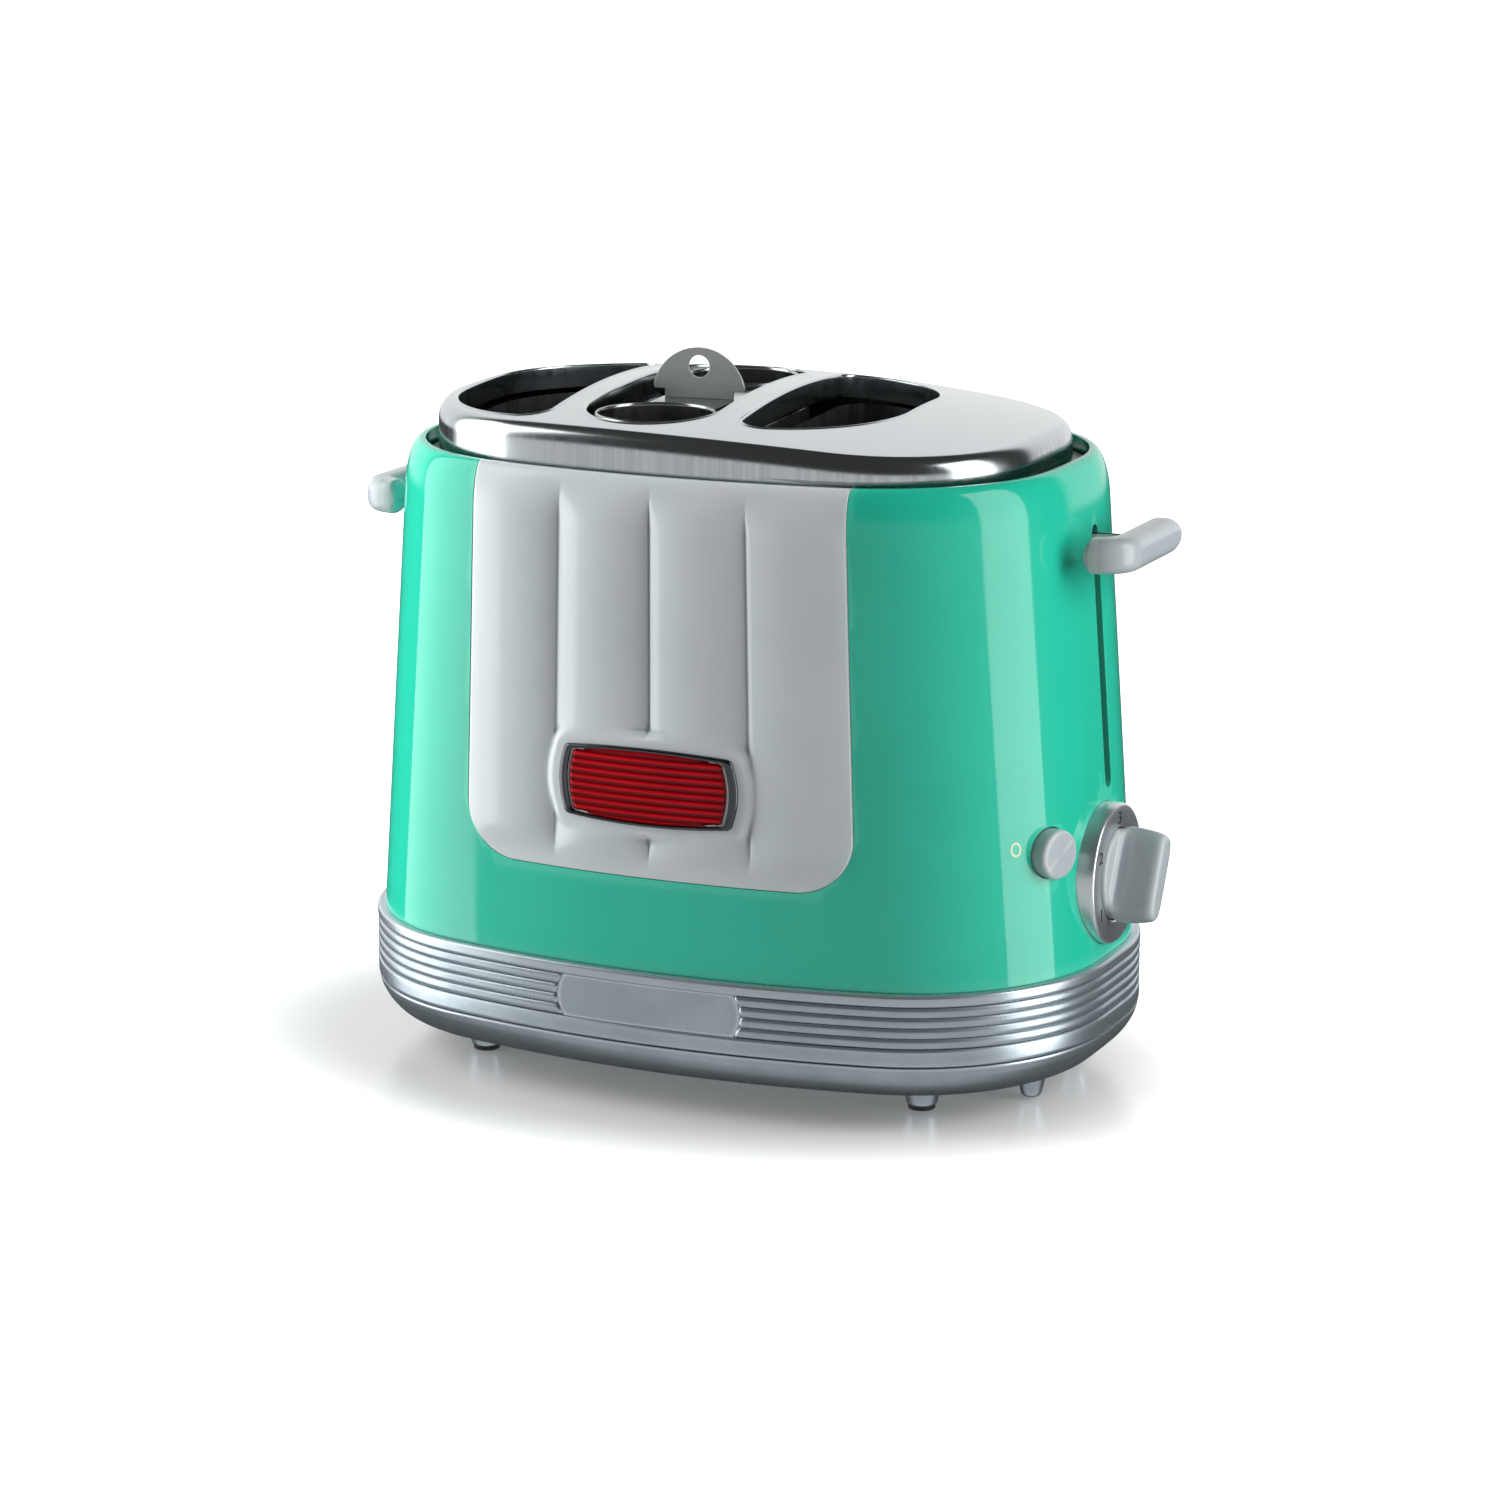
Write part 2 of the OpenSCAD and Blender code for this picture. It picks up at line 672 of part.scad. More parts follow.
module heater_board(side) {
    color(mica) group() translate([side * board_u - 0.5, -board_half, floor_z + sheet])
        cube([1, 2 * board_half, board_z0 + board_h - floor_z - sheet]);
}

wire_rows = 12;

module heater_wire(side) {
    color(steel) group() for (i = [0:wire_rows - 1], face = [-1, 1])
        translate([side * board_u + face * 0.8 - 0.3, -board_half + 4, board_z0 + 8 + i * 13])
            cube([0.6, 2 * board_half - 8, 1.2]);
}

module guard_wires(side) {
    color(steel) group() for (v = [-45:15:45])
        translate([side * (well_flat - 2.4), v, floor_z + sheet])
            cylinder(r = 0.9, h = top_sheet_z - floor_z - sheet, $fn = 16);
}

module guide_rod(k) {
    color(steel) translate([rod_spots[k].x, rod_spots[k].y, floor_z + sheet])
        cylinder(r = rod_r, h = top_sheet_z - floor_z - sheet, $fn = 40);
}

latch_z = 150;
latch_x1 = 92;

module latch_magnet() {
    color(dark_plastic) translate([77, -2, floor_z + sheet])
        cube([13, 14, latch_z - travel - floor_z - sheet - fit]);
}

module latch_plate() {
    color(steel) translate([post_x + post_t, -4, latch_z]) cube([latch_x1 - post_x - post_t, 18, 2]);
}

board_x = 96;
board_t = 1.6;
timer_x0 = 100;
timer_x1 = 125;
timer_half_y = 15;
timer_half_z = 22;

module timer_unit() {
    color(dark_plastic) difference() {
        translate([timer_x0, -timer_half_y, dial_z - timer_half_z])
            cube([timer_x1 - timer_x0, 2 * timer_half_y, 2 * timer_half_z]);
        translate([timer_x0 + 2, 0, dial_z]) rotate([0, 90, 0])
            cylinder(r = shaft_r + 0.06, h = 40, $fn = 40);
    }
}

// Upright board, and the bracket in front of it that carries the timer
module control_board() {
    color(green_board) translate([board_x, -40, floor_z + sheet]) cube([board_t, 80, 72]);
    color(galvanised) translate([board_x + board_t, -12, floor_z + sheet])
        cube([timer_x1 - board_x - board_t, 24, dial_z - timer_half_z - floor_z - sheet]);
}

shaft_r = 3;
shaft_x0 = 104;
shaft_l = 44;

// ---- controls ----

button_centre = corner_centre(body_a(button_z), body_b(button_z));

// Frame with +Z out of the end wall at the stop button
module button_frame() {
    translate([button_centre.x, -button_centre.y, button_z]) rotate([0, 0, -button_turn])
        translate([corner_radius, 0, 0]) rotate([0, 90, 0]) children();
}

button_out = 5;
button_in = 6;
stem_r = 3;
spring_len = 5;
switch_top = -button_in - button_travel - spring_len;
switch_h = 12;
switch_half = 8;
seat = 0.2;

module stop_button() {
    color(cream) button_frame() {
        translate([0, 0, -button_in]) cylinder(r = button_r, h = button_in + button_out - 1, $fn = 64);
        translate([0, 0, button_out - 1]) cylinder(r1 = button_r, r2 = button_r - 1, h = 1, $fn = 64);
        translate([0, 0, -button_in - 4]) cylinder(r = stem_r, h = 5, $fn = 32);
    }
}

module button_spring() {
    color(steel) button_frame() translate([0, 0, switch_top]) difference() {
        cylinder(r = stem_r + 2, h = spring_len, $fn = 32);
        translate([0, 0, -1]) cylinder(r = stem_r + 1.2, h = 10, $fn = 32);
    }
}

// Switch behind the button, on a board that stands on the chassis floor
module stop_switch() {
    color(dark_plastic) button_frame() translate([-switch_half, -switch_half, switch_top - switch_h])
        difference() {
        translate([0, 0, -seat]) cube([2 * switch_half, 2 * switch_half, switch_h + seat]);
        translate([switch_half, switch_half, switch_h - 4]) cylinder(r = stem_r + 0.4, h = 10, $fn = 32);
    }
    color(green_board) button_frame() translate([-9, -9, switch_top - switch_h - board_t])
        cube([button_z - floor_z - sheet + 9, 18, board_t]);
}

module dial_ring() {
    color(silver) translate([125, 0, dial_z]) rotate([0, 90, 0]) difference() {
        union() {
            cylinder(r = dial_r, h = dial_face_x - 126, $fn = 96);
            translate([0, 0, dial_face_x - 126]) cylinder(r1 = dial_r, r2 = dial_r - 1, h = 1, $fn = 96);
        }
        translate([0, 0, 6]) cylinder(r = ring_hole_r, h = 30, $fn = 64);
        translate([0, 0, -1]) cylinder(r = shaft_r + 0.6, h = 30, $fn = 40);
    }
}

knob_seat_x = 132;
knob_base_r = 16;
ring_hole_r = knob_base_r + 0.5;
blade_h = knob_face_x - dial_face_x;
blade_draft = 0.08;
blade_edge = 1;

// Blade across the knob, drawn in towards its outer face
module knob_blade() {
    rotate(-knob_turn) hull() for (s = [-1, 1], z = [0, blade_h - 1]) let (r = knob_t / 2 - z * blade_draft)
        translate([s * (knob_l - knob_t) / 2, 0, z]) cylinder(r1 = r, r2 = r - blade_edge, h = 1, $fn = 32);
}

module timer_knob() {
    color(cream) translate([0, 0, dial_z]) rotate([0, 90, 0]) difference() {
        union() {
            translate([0, 0, knob_seat_x])
                cylinder(r = knob_base_r, h = dial_face_x + 1 - knob_seat_x, $fn = 64);
            translate([0, 0, dial_face_x]) knob_blade();
        }
        translate([0, 0, shaft_x0]) cylinder(r = shaft_r, h = shaft_l, $fn = 40);
    }
}

module timer_shaft() {
    color(steel) translate([shaft_x0, 0, dial_z]) rotate([0, 90, 0])
        cylinder(r = shaft_r, h = shaft_l, $fn = 40);
}

// ---- carriage ----

arm_h = 8;
frame_off0 = -9;
frame_off1 = -6.6;
frame_z = rest_z - sheet;
frame_h = 6;
post_x = 70.5;
post_t = 3;
post_w = 6;
arm_x = 118.2;

bush_r = rod_r + 1.8;
lug_r = bush_r + 1.7;
pad_r = 4.2;

// Ring round the wells, cross strip, bush seats, spring pads and the two posts for the levers
module carriage_frame() {
    color(galvanised) {
        translate([0, 0, frame_z]) linear_extrude(frame_h) difference() {
            union() {
                difference() {
                    polygon(outline(top_half_x, top_half_y, frame_off1));
                    polygon(outline(top_half_x, top_half_y, frame_off0));
                    translate([post_x + post_t, -far]) square([far, 2 * far]);
                }
                intersection() {
                    polygon(outline(top_half_x, top_half_y, frame_off1));
                    translate([post_x, -far]) square([post_t, 2 * far]);
                }
                for (s = rod_spots) translate(s) circle(r = lug_r, $fn = 40);
                for (s = spring_spots) translate(s) circle(r = pad_r, $fn = 32);
                for (s = [rod_spots[1], spring_spots[1]]) translate([post_x + 1, s.y - 4])
                    square([s.x - post_x - 1, 8]);
            }
            for (s = rod_spots) translate(s) circle(r = bush_r, $fn = 40);
        }
        for (x = [-arm_x, post_x]) translate([x, slot_y - post_w / 2, frame_z])
            cube([post_t, post_w, arm_z + arm_h / 2 - frame_z]);
    }
}

module guide_bushes() {
    color(cream) for (s = rod_spots) translate([s.x, s.y, frame_z]) difference() {
        cylinder(r = bush_r, h = frame_h + 6, $fn = 40);
        translate([0, 0, -1]) cylinder(r = rod_r + 0.06, h = frame_h + 12, $fn = 40);
    }
}

module well_rest(side) {
    color(galvanised) translate([0, 0, rest_z - sheet]) linear_extrude(sheet) group() {
        difference() {
            polygon(side > 0 ? well(-2.5) : flip(well(-2.5)));
            for (v = [-42:12:42]) translate([side * (well_flat + 22), v]) square([30, 6], center = true);
        }
        tongue(side * tongue_u);
    }
}

// Strip that joins a rest to the frame in front and behind
module tongue(u) {
    intersection() {
        translate([u - tongue_w / 2, -90]) square([tongue_w, 180]);
        rotate(-group_turn) translate([-group_x, 0]) polygon(outline(top_half_x, top_half_y, frame_off0));
    }
}

module cage_rest() {
    color(galvanised) translate([0, 0, rest_z - sheet]) linear_extrude(sheet) group() {
        difference() {
            polygon(slot(-2.5));
            for (v = [-54:12:54]) translate([0, v]) square([24, 5], center = true);
        }
        tongue(0);
    }
}

lever_x = knob_face_x - lever_t / 2;

module lever_arm(side) {
    start = side > 0 ? post_x + post_t : arm_x;
    color(galvanised) translate([side > 0 ? start : -lever_x, slot_y - arm_t / 2, arm_z - arm_h / 2])
        cube([lever_x - start, arm_t, arm_h]);
}

// Bowed bar across the end, with round ends and a socket for its arm
module lever(side) {
    span = asin((lever_l - lever_t) / 2 / lever_bow);
    turn = side > 0 ? 0 : 180;
    color(cream) difference() {
        translate([side * (lever_x - lever_bow), lever_y, arm_z + lever_lift - lever_h / 2]) union() {
            rotate(turn - span) rotate_extrude(angle = 2 * span, $fn = 96)
                translate([lever_bow, 0]) lever_section();
            for (s = [-1, 1]) rotate(turn + s * span) translate([lever_bow, 0, 0])
                rotate_extrude($fn = 48) intersection() {
                    lever_section();
                    square([lever_t, lever_h]);
                }
        }
        translate([side > 0 ? lever_x - lever_t : -lever_x, slot_y - arm_t / 2, arm_z - arm_h / 2])
            cube([lever_t, arm_t, arm_h]);
    }
}

// Rounded section of a lever, centred on its own axis
module lever_section() {
    r = 4.5;
    union() {
        translate([-lever_t / 2 + r, 0]) square([lever_t - 2 * r, lever_h]);
        translate([-lever_t / 2, r]) square([lever_t, lever_h - 2 * r]);
        for (sx = [-1, 1], z = [r, lever_h - r]) translate([sx * (lever_t / 2 - r), z])
            circle(r = r, $fn = 32);
    }
}

module return_spring(k) {
    color(steel) translate([spring_spots[k].x, spring_spots[k].y, frame_z + frame_h])
        difference() {
            cylinder(r = 3.4, h = top_sheet_z - frame_z - frame_h, $fn = 32);
            translate([0, 0, -1]) cylinder(r = 2.6, h = far, $fn = 32);
        }
}

// ---- lift-out cage ----

cup_windows = 8;
window_w = 9;
window_z = 16;
window_top = 28;
bead_out = 0.6;

module cup(side) {
    depth = cup_z - rest_z - sheet;
    color(steel) group() translate([0, side * cup_pitch / 2, rest_z + sheet]) {
        difference() {
            union() {
                cylinder(r = cup_r + cup_wall, h = depth, $fn = 96);
                translate([0, 0, depth - bead_h])
                    cylinder(r = cup_r + cup_wall + bead_out, h = bead_h, $fn = 96);
            }
            translate([0, 0, 1]) cylinder(r = cup_r, h = depth, $fn = 96);
            for (i = [0:cup_windows - 1]) rotate(i * 360 / cup_windows + 22.5)
                translate([0, -window_w / 2, window_z])
                    cube([cup_r + 4, window_w, depth - window_z - window_top]);
        }
    }
}

bead_h = 2;
bridge_z = cup_z - bead_h;
bridge_w = 28;
tab_t = 1.2;
tab_lift = 0.7;
leg_x = 9;
leg_w = 8;
leg_h = 3;
hole_drop = 6.8;
foot_w = 16;

module cage_bridge() {
    color(steel) group() translate([0, 0, bridge_z - sheet]) difference() {
        translate([-bridge_w / 2, -cup_pitch / 2 + 10, 0]) cube([bridge_w, cup_pitch - 20, sheet]);
        for (s = [-1, 1]) translate([0, s * cup_pitch / 2, -1])
            cylinder(r = cup_r + cup_wall, h = 4, $fn = 96);
    }
}

// Half-round plate on two legs, upright on the bridge
module cage_tab() {
    color(steel) group() translate([0, tab_t / 2, bridge_z]) rotate([90, 0, 0]) difference() {
        union() {
            translate([0, tab_lift, 0]) intersection() {
                cylinder(r = tab_r, h = tab_t, $fn = 96);
                translate([-tab_r, leg_h, -1]) cube([2 * tab_r, tab_r, 4]);
            }
            for (s = [-1, 1]) translate([s * leg_x - leg_w / 2, 0, 0])
                cube([leg_w, tab_lift + leg_h + 1, tab_t]);
        }
        translate([0, tab_lift + tab_r - hole_drop, -1]) cylinder(r = tab_hole / 2, h = 4, $fn = 40);
    }
}

module cage_foot() {
    color(steel) group() translate([-foot_w / 2, -cup_pitch / 2, rest_z]) cube([foot_w, cup_pitch, sheet]);
}

// ---- crumb tray ----

tray_z = band_z + 0.7;
tray_h = 5.6;
tray_t = 0.8;

// Plan of the tray's pan, drawn in by off, as far as the curved face behind
module tray_plan(off) {
    intersection() {
        polygon(outline(foot_half_x, foot_half_y, -0.5 - off));
        translate([tray_x0 + 3 + off, tray_y0 + off]) square([tray_x1 - tray_x0 - 6 - 2 * off, far]);
    }
}

module crumb_tray() {
    color(galvanised) translate([0, 0, tray_z]) difference() {
        linear_extrude(tray_h) tray_plan(0);
        translate([0, 0, tray_t]) linear_extrude(tray_h) tray_plan(tray_t + 0.6);
    }
    color(silver) intersection() {
        band_body();
        translate([tray_x0, 40, band_z + 0.4]) cube([tray_x1 - tray_x0, 80, 5.8]);
    }
}

base_pan();
base_band();
front_plate();
feet();
foot_pads();
cord_hooks();
body_shell();
front_panel();
badge_frame();
badge_lens();
lid_cover();
chassis_floor();
chassis_top();
well_liner(-1);  // bun_liner_left
well_liner(1);  // bun_liner_right
cage_liner();
heater_board(-1);  // heater_board_left
heater_board(1);  // heater_board_right
heater_wire(-1);  // heater_wire_left
heater_wire(1);  // heater_wire_right
guard_wires(-1);  // guard_wires_left
guard_wires(1);  // guard_wires_right
guide_rod(0);  // guide_rod_left
guide_rod(1);  // guide_rod_right
latch_magnet();
timer_unit();
control_board();
stop_switch();
dial_ring();
cord_inlet();
housing_screws();
carriage_frame();
well_rest(-1);  // bun_rest_left
well_rest(1);  // bun_rest_right
cage_rest();
lever_arm(-1);  // lever_arm_left
lever_arm(1);  // lever_arm_right
lever(-1);  // lever_left
lever(1);  // lever_right
latch_plate();
guide_bushes();
return_spring(0);  // return_spring_left
return_spring(1);  // return_spring_right
cup(-1);  // cup_front
cup(1);  // cup_rear
cage_bridge();
cage_tab();
cage_foot();
stop_button();
button_spring();
timer_knob();
timer_shaft();
crumb_tray();
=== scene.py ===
# %% [markdown]
# # A hot dog toaster, dressed around its imported frame
#
# The toaster stands on four short feet. A silver pan and a ribbed band carry a glossy teal body with a
# fluted white panel in front, and a polished lid with three openings sits inside the body's rim.
# The imported frame holds every piece at its real size, so this lesson only makes the looks: finer meshes
# for the pieces that show, and a procedural finish for every piece. Lengths in the helpers are in
# millimetres, as on a drawing, and `make` turns them into the frame's metres.

# %% Load the frame, with a helper for a part's box
import bmesh
import bpy
import json
import math
import numpy as np
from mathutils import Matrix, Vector
from mathutils.geometry import delaunay_2d_cdt


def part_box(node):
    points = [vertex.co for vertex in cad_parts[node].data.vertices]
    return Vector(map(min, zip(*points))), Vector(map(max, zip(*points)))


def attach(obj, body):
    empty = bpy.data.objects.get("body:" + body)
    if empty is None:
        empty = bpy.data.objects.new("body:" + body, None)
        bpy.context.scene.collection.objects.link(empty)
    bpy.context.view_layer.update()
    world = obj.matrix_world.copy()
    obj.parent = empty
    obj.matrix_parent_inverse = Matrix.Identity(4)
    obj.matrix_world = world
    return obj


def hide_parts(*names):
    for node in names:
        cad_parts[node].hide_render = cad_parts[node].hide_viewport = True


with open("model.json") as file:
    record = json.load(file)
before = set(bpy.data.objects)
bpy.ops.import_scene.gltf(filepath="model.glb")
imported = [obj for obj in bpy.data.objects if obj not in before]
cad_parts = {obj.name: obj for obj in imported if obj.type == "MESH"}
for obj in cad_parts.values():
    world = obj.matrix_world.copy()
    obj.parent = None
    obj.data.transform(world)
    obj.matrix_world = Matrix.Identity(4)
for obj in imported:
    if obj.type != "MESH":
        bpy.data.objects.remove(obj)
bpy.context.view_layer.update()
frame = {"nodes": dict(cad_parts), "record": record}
slot_of = {part["node"]: part["material_slot"] for part in frame["record"]["subparts"]}

# %% [markdown]
# ## Camera
#
# The photograph was taken with a long lens from the front right, a little above the rim. A view like this
# is described best by where it looks, from which side and how high, and how far away it stands. The same
# four values place the camera, so that it can be checked against the picture one value at a time.

# %% Camera at the photograph's angle
VIEW_TURN = math.radians(24.548)
VIEW_RISE = math.radians(13.469)
VIEW_DISTANCE = 1.66746
VIEW_TARGET = Vector((-0.001768, -0.000808, 0.109845))
SENSOR = 36.0
LENS = 110.58


def add_object(name, data):
    """New object in the scene."""
    thing = bpy.data.objects.new(name, data)
    bpy.context.scene.collection.objects.link(thing)
    return thing


back = Vector((math.sin(VIEW_TURN) * math.cos(VIEW_RISE),
               -math.cos(VIEW_TURN) * math.cos(VIEW_RISE), math.sin(VIEW_RISE)))
camera_data = bpy.data.cameras.new("photo_camera")
camera_data.sensor_width = SENSOR
camera_data.lens = LENS
camera = add_object("photo_camera", camera_data)
camera.location = VIEW_TARGET + back * VIEW_DISTANCE
camera.rotation_euler = (-back).to_track_quat("-Z", "Y").to_euler()
bpy.context.scene.camera = camera
print(f"camera {VIEW_DISTANCE:.2f} m away, lens {LENS:.1f} mm")

# %% [markdown]
# ## Node groups for surface effects
#
# Moulded, painted and rolled surfaces are never quite even. Two small groups give that unevenness and a third
# paints light, and every material uses two of them with its own numbers. `skin` is the soft ripple and
# clouding of paint or moulded plastic, `grain` is the fine run of lines that rolling or brushing leaves, and
# the third finds the sharp rims, lightened as a painted highlight, and the creases, darkened as painted shade.

# %% Helpers for node groups
def new_group(name, inputs, outputs):
    """Empty shader group with float or vector inputs and float outputs."""
    group = bpy.data.node_groups.new(name, "ShaderNodeTree")
    for title, kind, value in inputs:
        socket = group.interface.new_socket(title, in_out="INPUT", socket_type="NodeSocket" + kind)
        socket.default_value = value
    for title in outputs:
        group.interface.new_socket(title, in_out="OUTPUT", socket_type="NodeSocketFloat")
    return group, group.nodes.new("NodeGroupInput"), group.nodes.new("NodeGroupOutput")


def put(tree, value, socket):
    """Link an output to a socket, or give the socket a plain value."""
    if isinstance(value, bpy.types.NodeSocket):
        tree.links.new(value, socket)
    else:
        socket.default_value = value


def add_node(tree, kind, **sockets):
    """Shader node of a kind; From_Min=0.2 fills its socket From Min."""
    node = tree.nodes.new("ShaderNode" + kind)
    for title, value in sockets.items():
        put(tree, value, node.inputs[title.replace("_", " ")])
    return node


def math_node(tree, operation, *values, kind="Math", result=0):
    """Math or VectorMath node of outputs or plain values; returns its result."""
    node = add_node(tree, kind)
    node.operation = operation
    for socket, value in zip(node.inputs, values):
        put(tree, value, socket)
    return node.outputs[result]


def map_range(tree, value, low, high, to_low=0.0, to_high=1.0):
    """Smooth step of a value from one range to another."""
    node = add_node(tree, "MapRange", Value=value, From_Min=low, From_Max=high, To_Min=to_low, To_Max=to_high)
    node.interpolation_type = "SMOOTHSTEP"
    return node.outputs["Result"]


print("node helpers ready")

# %% Group: skin of paint and moulded plastic
skin, ins, outs = new_group("skin", [("Cloud Scale", "Float", 25.0), ("Ripple Scale", "Float", 400.0)],
                            ["Cloud", "Ripple"])
where = add_node(skin, "TexCoord").outputs["Object"]
for result, detail in (("Cloud", 3.0), ("Ripple", 1.0)):
    noise = add_node(skin, "TexNoise", Vector=where, Scale=ins.outputs[result + " Scale"], Detail=detail)
    skin.links.new(noise.outputs["Fac"], outs.inputs[result])
print("group skin:", [s.name for s in skin.interface.items_tree])

# %% Group: grain of rolled, drawn or brushed metal
grain, ins, outs = new_group("grain", [("Stretch", "Vector", (900.0, 900.0, 8.0))], ["Streak"])
where = add_node(grain, "TexCoord").outputs["Object"]
stretched = math_node(grain, "MULTIPLY", where, ins.outputs["Stretch"], kind="VectorMath")
noise = add_node(grain, "TexNoise", Vector=stretched, Scale=1.0, Detail=5.0)
grain.links.new(noise.outputs["Fac"], outs.inputs["Streak"])
print("group grain:", [s.name for s in grain.interface.items_tree])

# %% Group: painted highlight on rims and painted shade in creases
edges, ins, outs = new_group("edges", [("Reach", "Float", 0.04)], ["Rim", "Painted Shade"])
above = math_node(edges, "SUBTRACT", add_node(edges, "NewGeometry").outputs["Pointiness"], 0.5)
share = math_node(edges, "DIVIDE", above, ins.outputs["Reach"])
# The first output lightens sharp rims as a painted highlight, the second darkens creases as painted shade.
edges.links.new(map_range(edges, share, 0.2, 1.0), outs.inputs["Rim"])
edges.links.new(map_range(edges, share, -0.2, -1.0), outs.inputs["Painted Shade"])
print("group edges:", [s.name for s in edges.interface.items_tree])

# %% [markdown]
# ## Finishes
#
# A finish is one Principled shader. Two close tones are mixed by the group's clouding, roughness moves
# between two limits by the same mask, the ripple becomes a very low bump, sharp rims take a lighter tone as a
# painted highlight and creases a darker one as painted shade. One function can build them all, because only
# the numbers differ: this keeps each finish to two readable lines, and every number can be compared with its
# neighbours.

# %% Build a finish
materials = {}


def finish(name, dark, light, rough, values, metallic=0.0, texture=skin, bump=0.0, reach=0.0002,
           painted_highlight=None, corner=None, ior=1.5, upright=False, ribs=None):
    """Principled material of two tones, a roughness range, a texture group, a painted highlight on rims and
    painted shade in creases and grooves.
    """
    material = bpy.data.materials.new(name)
    material.use_nodes = True
    tree = material.node_tree
    shader = tree.nodes["Principled BSDF"].inputs
    shader["Metallic"].default_value = metallic
    shader["IOR"].default_value = ior
    pattern, painted_light = add_node(tree, "Group"), add_node(tree, "Group")
    pattern.node_tree, painted_light.node_tree = texture, edges
    for socket, value in zip(pattern.inputs, values):
        socket.default_value = value
    cloud, relief_from = pattern.outputs[0], pattern.outputs[-1]
    if upright:
        cloud = relief_from = keep_upright(tree, cloud)
    colour = mix_tones(tree, map_range(tree, cloud, 0.3, 0.7), dark, light)
    # Sharp rims take the lighter rim tone as a painted highlight, and creases the darker corner tone as
    # painted shade.
    colour = mix_tones(tree, painted_light.outputs["Rim"], colour, painted_highlight or light)
    colour = mix_tones(tree, painted_light.outputs["Painted Shade"], colour, corner or dark)
    # Between the ribs the corner tone is painted in as shade.
    if ribs:
        colour = mix_tones(tree, groove_shade_mask(tree, *ribs), colour, corner)
    tree.links.new(colour, shader["Base Color"])
    tree.links.new(map_range(tree, cloud, 0.3, 0.7, rough[1], rough[0]), shader["Roughness"])
    if bump:
        relief = add_node(tree, "Bump", Strength=bump, Distance=reach, Height=relief_from)
        tree.links.new(relief.outputs["Normal"], shader["Normal"])
    materials[name] = material


def height_of(tree, vector):
    """The Z part of a vector."""
    return add_node(tree, "SeparateXYZ", Vector=vector).outputs["Z"]


def keep_upright(tree, value):
    """The pattern on upright walls, fading to its middle value on level ones."""
    tilt = math_node(tree, "ABSOLUTE", height_of(tree, add_node(tree, "NewGeometry").outputs["Normal"]))
    swing = math_node(tree, "SUBTRACT", value, 0.5)
    faded = math_node(tree, "MULTIPLY", swing, map_range(tree, tilt, 0.15, 0.55, 1.0, 0.0))
    return math_node(tree, "ADD", faded, 0.5)


def groove_shade_mask(tree, middle, pitch):
    """Mask of painted shade: 0.8 in the grooves between level ribs of a given pitch, 0 on their crests."""
    height = height_of(tree, add_node(tree, "TexCoord").outputs["Object"])
    turn = math_node(tree, "MULTIPLY", math_node(tree, "SUBTRACT", height, middle), math.pi / pitch)
    depth = math_node(tree, "ABSOLUTE", math_node(tree, "COSINE", turn))
    return map_range(tree, depth, 0.35, 0.95, 0.0, 0.8)


def mix_tones(tree, mask, first, second):
    """Mix Color node; first and second are sockets or linear colours."""
    node = add_node(tree, "Mix")
    node.data_type = "RGBA"
    put(tree, mask, node.inputs["Factor"])
    for socket, value in zip([s for s in node.inputs if s.type == "RGBA"], (first, second)):
        put(tree, (*value, 1.0) if isinstance(value, tuple) else value, socket)
    return next(s for s in node.outputs if s.type == "RGBA")


print("finish builder ready")

# %% [markdown]
# The body is a deep teal gloss, the panel a cool white gloss, and levers, knob and button a greyer one.
# The base is a satin silver paint with a fine sparkle.
# The lid is polished steel whose skirt shows upright brush lines.
# Inside are zinc-coated sheet, dull liners, pale mica and dark ribbon, so the wells look right from above.

# %% Finishes of the outside
# In each finish the rim tone is a painted highlight on sharp rims, and the corner tone painted shade in
# creases.
finish("teal_gloss", (0.018, 0.520, 0.350), (0.022, 0.550, 0.378), (0.05, 0.09), bump=0.02, reach=0.00015,
       painted_highlight=(0.06, 0.60, 0.42), corner=(0.008, 0.22, 0.15), values=(14.0, 90.0))
finish("white_gloss", (0.600, 0.655, 0.670), (0.640, 0.690, 0.705), (0.09, 0.15), bump=0.02, reach=0.00015,
       painted_highlight=(0.74, 0.78, 0.79), corner=(0.36, 0.41, 0.43), values=(16.0, 120.0))
finish("pale_gloss", (0.415, 0.462, 0.490), (0.445, 0.492, 0.522), (0.10, 0.16), bump=0.02, reach=0.00015,
       painted_highlight=(0.52, 0.56, 0.57), corner=(0.22, 0.26, 0.28), values=(16.0, 120.0))
finish("silver_paint", (0.360, 0.425, 0.465), (0.420, 0.490, 0.530), (0.27, 0.33), metallic=0.8, bump=0.03,
       reach=0.00004, painted_highlight=(0.54, 0.61, 0.65), corner=(0.20, 0.24, 0.265), values=(60.0, 2500.0))
finish("silver_dial", (0.220, 0.265, 0.290), (0.235, 0.280, 0.305), (0.28, 0.30), metallic=0.85,
       painted_highlight=(0.70, 0.74, 0.77), corner=(0.14, 0.17, 0.19), values=(60.0, 2500.0))
finish("polished_steel", (0.520, 0.560, 0.575), (0.610, 0.660, 0.670), (0.14, 0.22), metallic=1.0,
       texture=grain, values=((500.0, 500.0, 6.0),), bump=0.05, reach=0.00005,
       corner=(0.2, 0.21, 0.22), upright=True)
finish("cage_steel", (0.420, 0.440, 0.440), (0.500, 0.520, 0.515), (0.16, 0.24), metallic=1.0, texture=grain,
       values=((400.0, 400.0, 8.0),), bump=0.05, reach=0.00004, corner=(0.1, 0.1, 0.1))
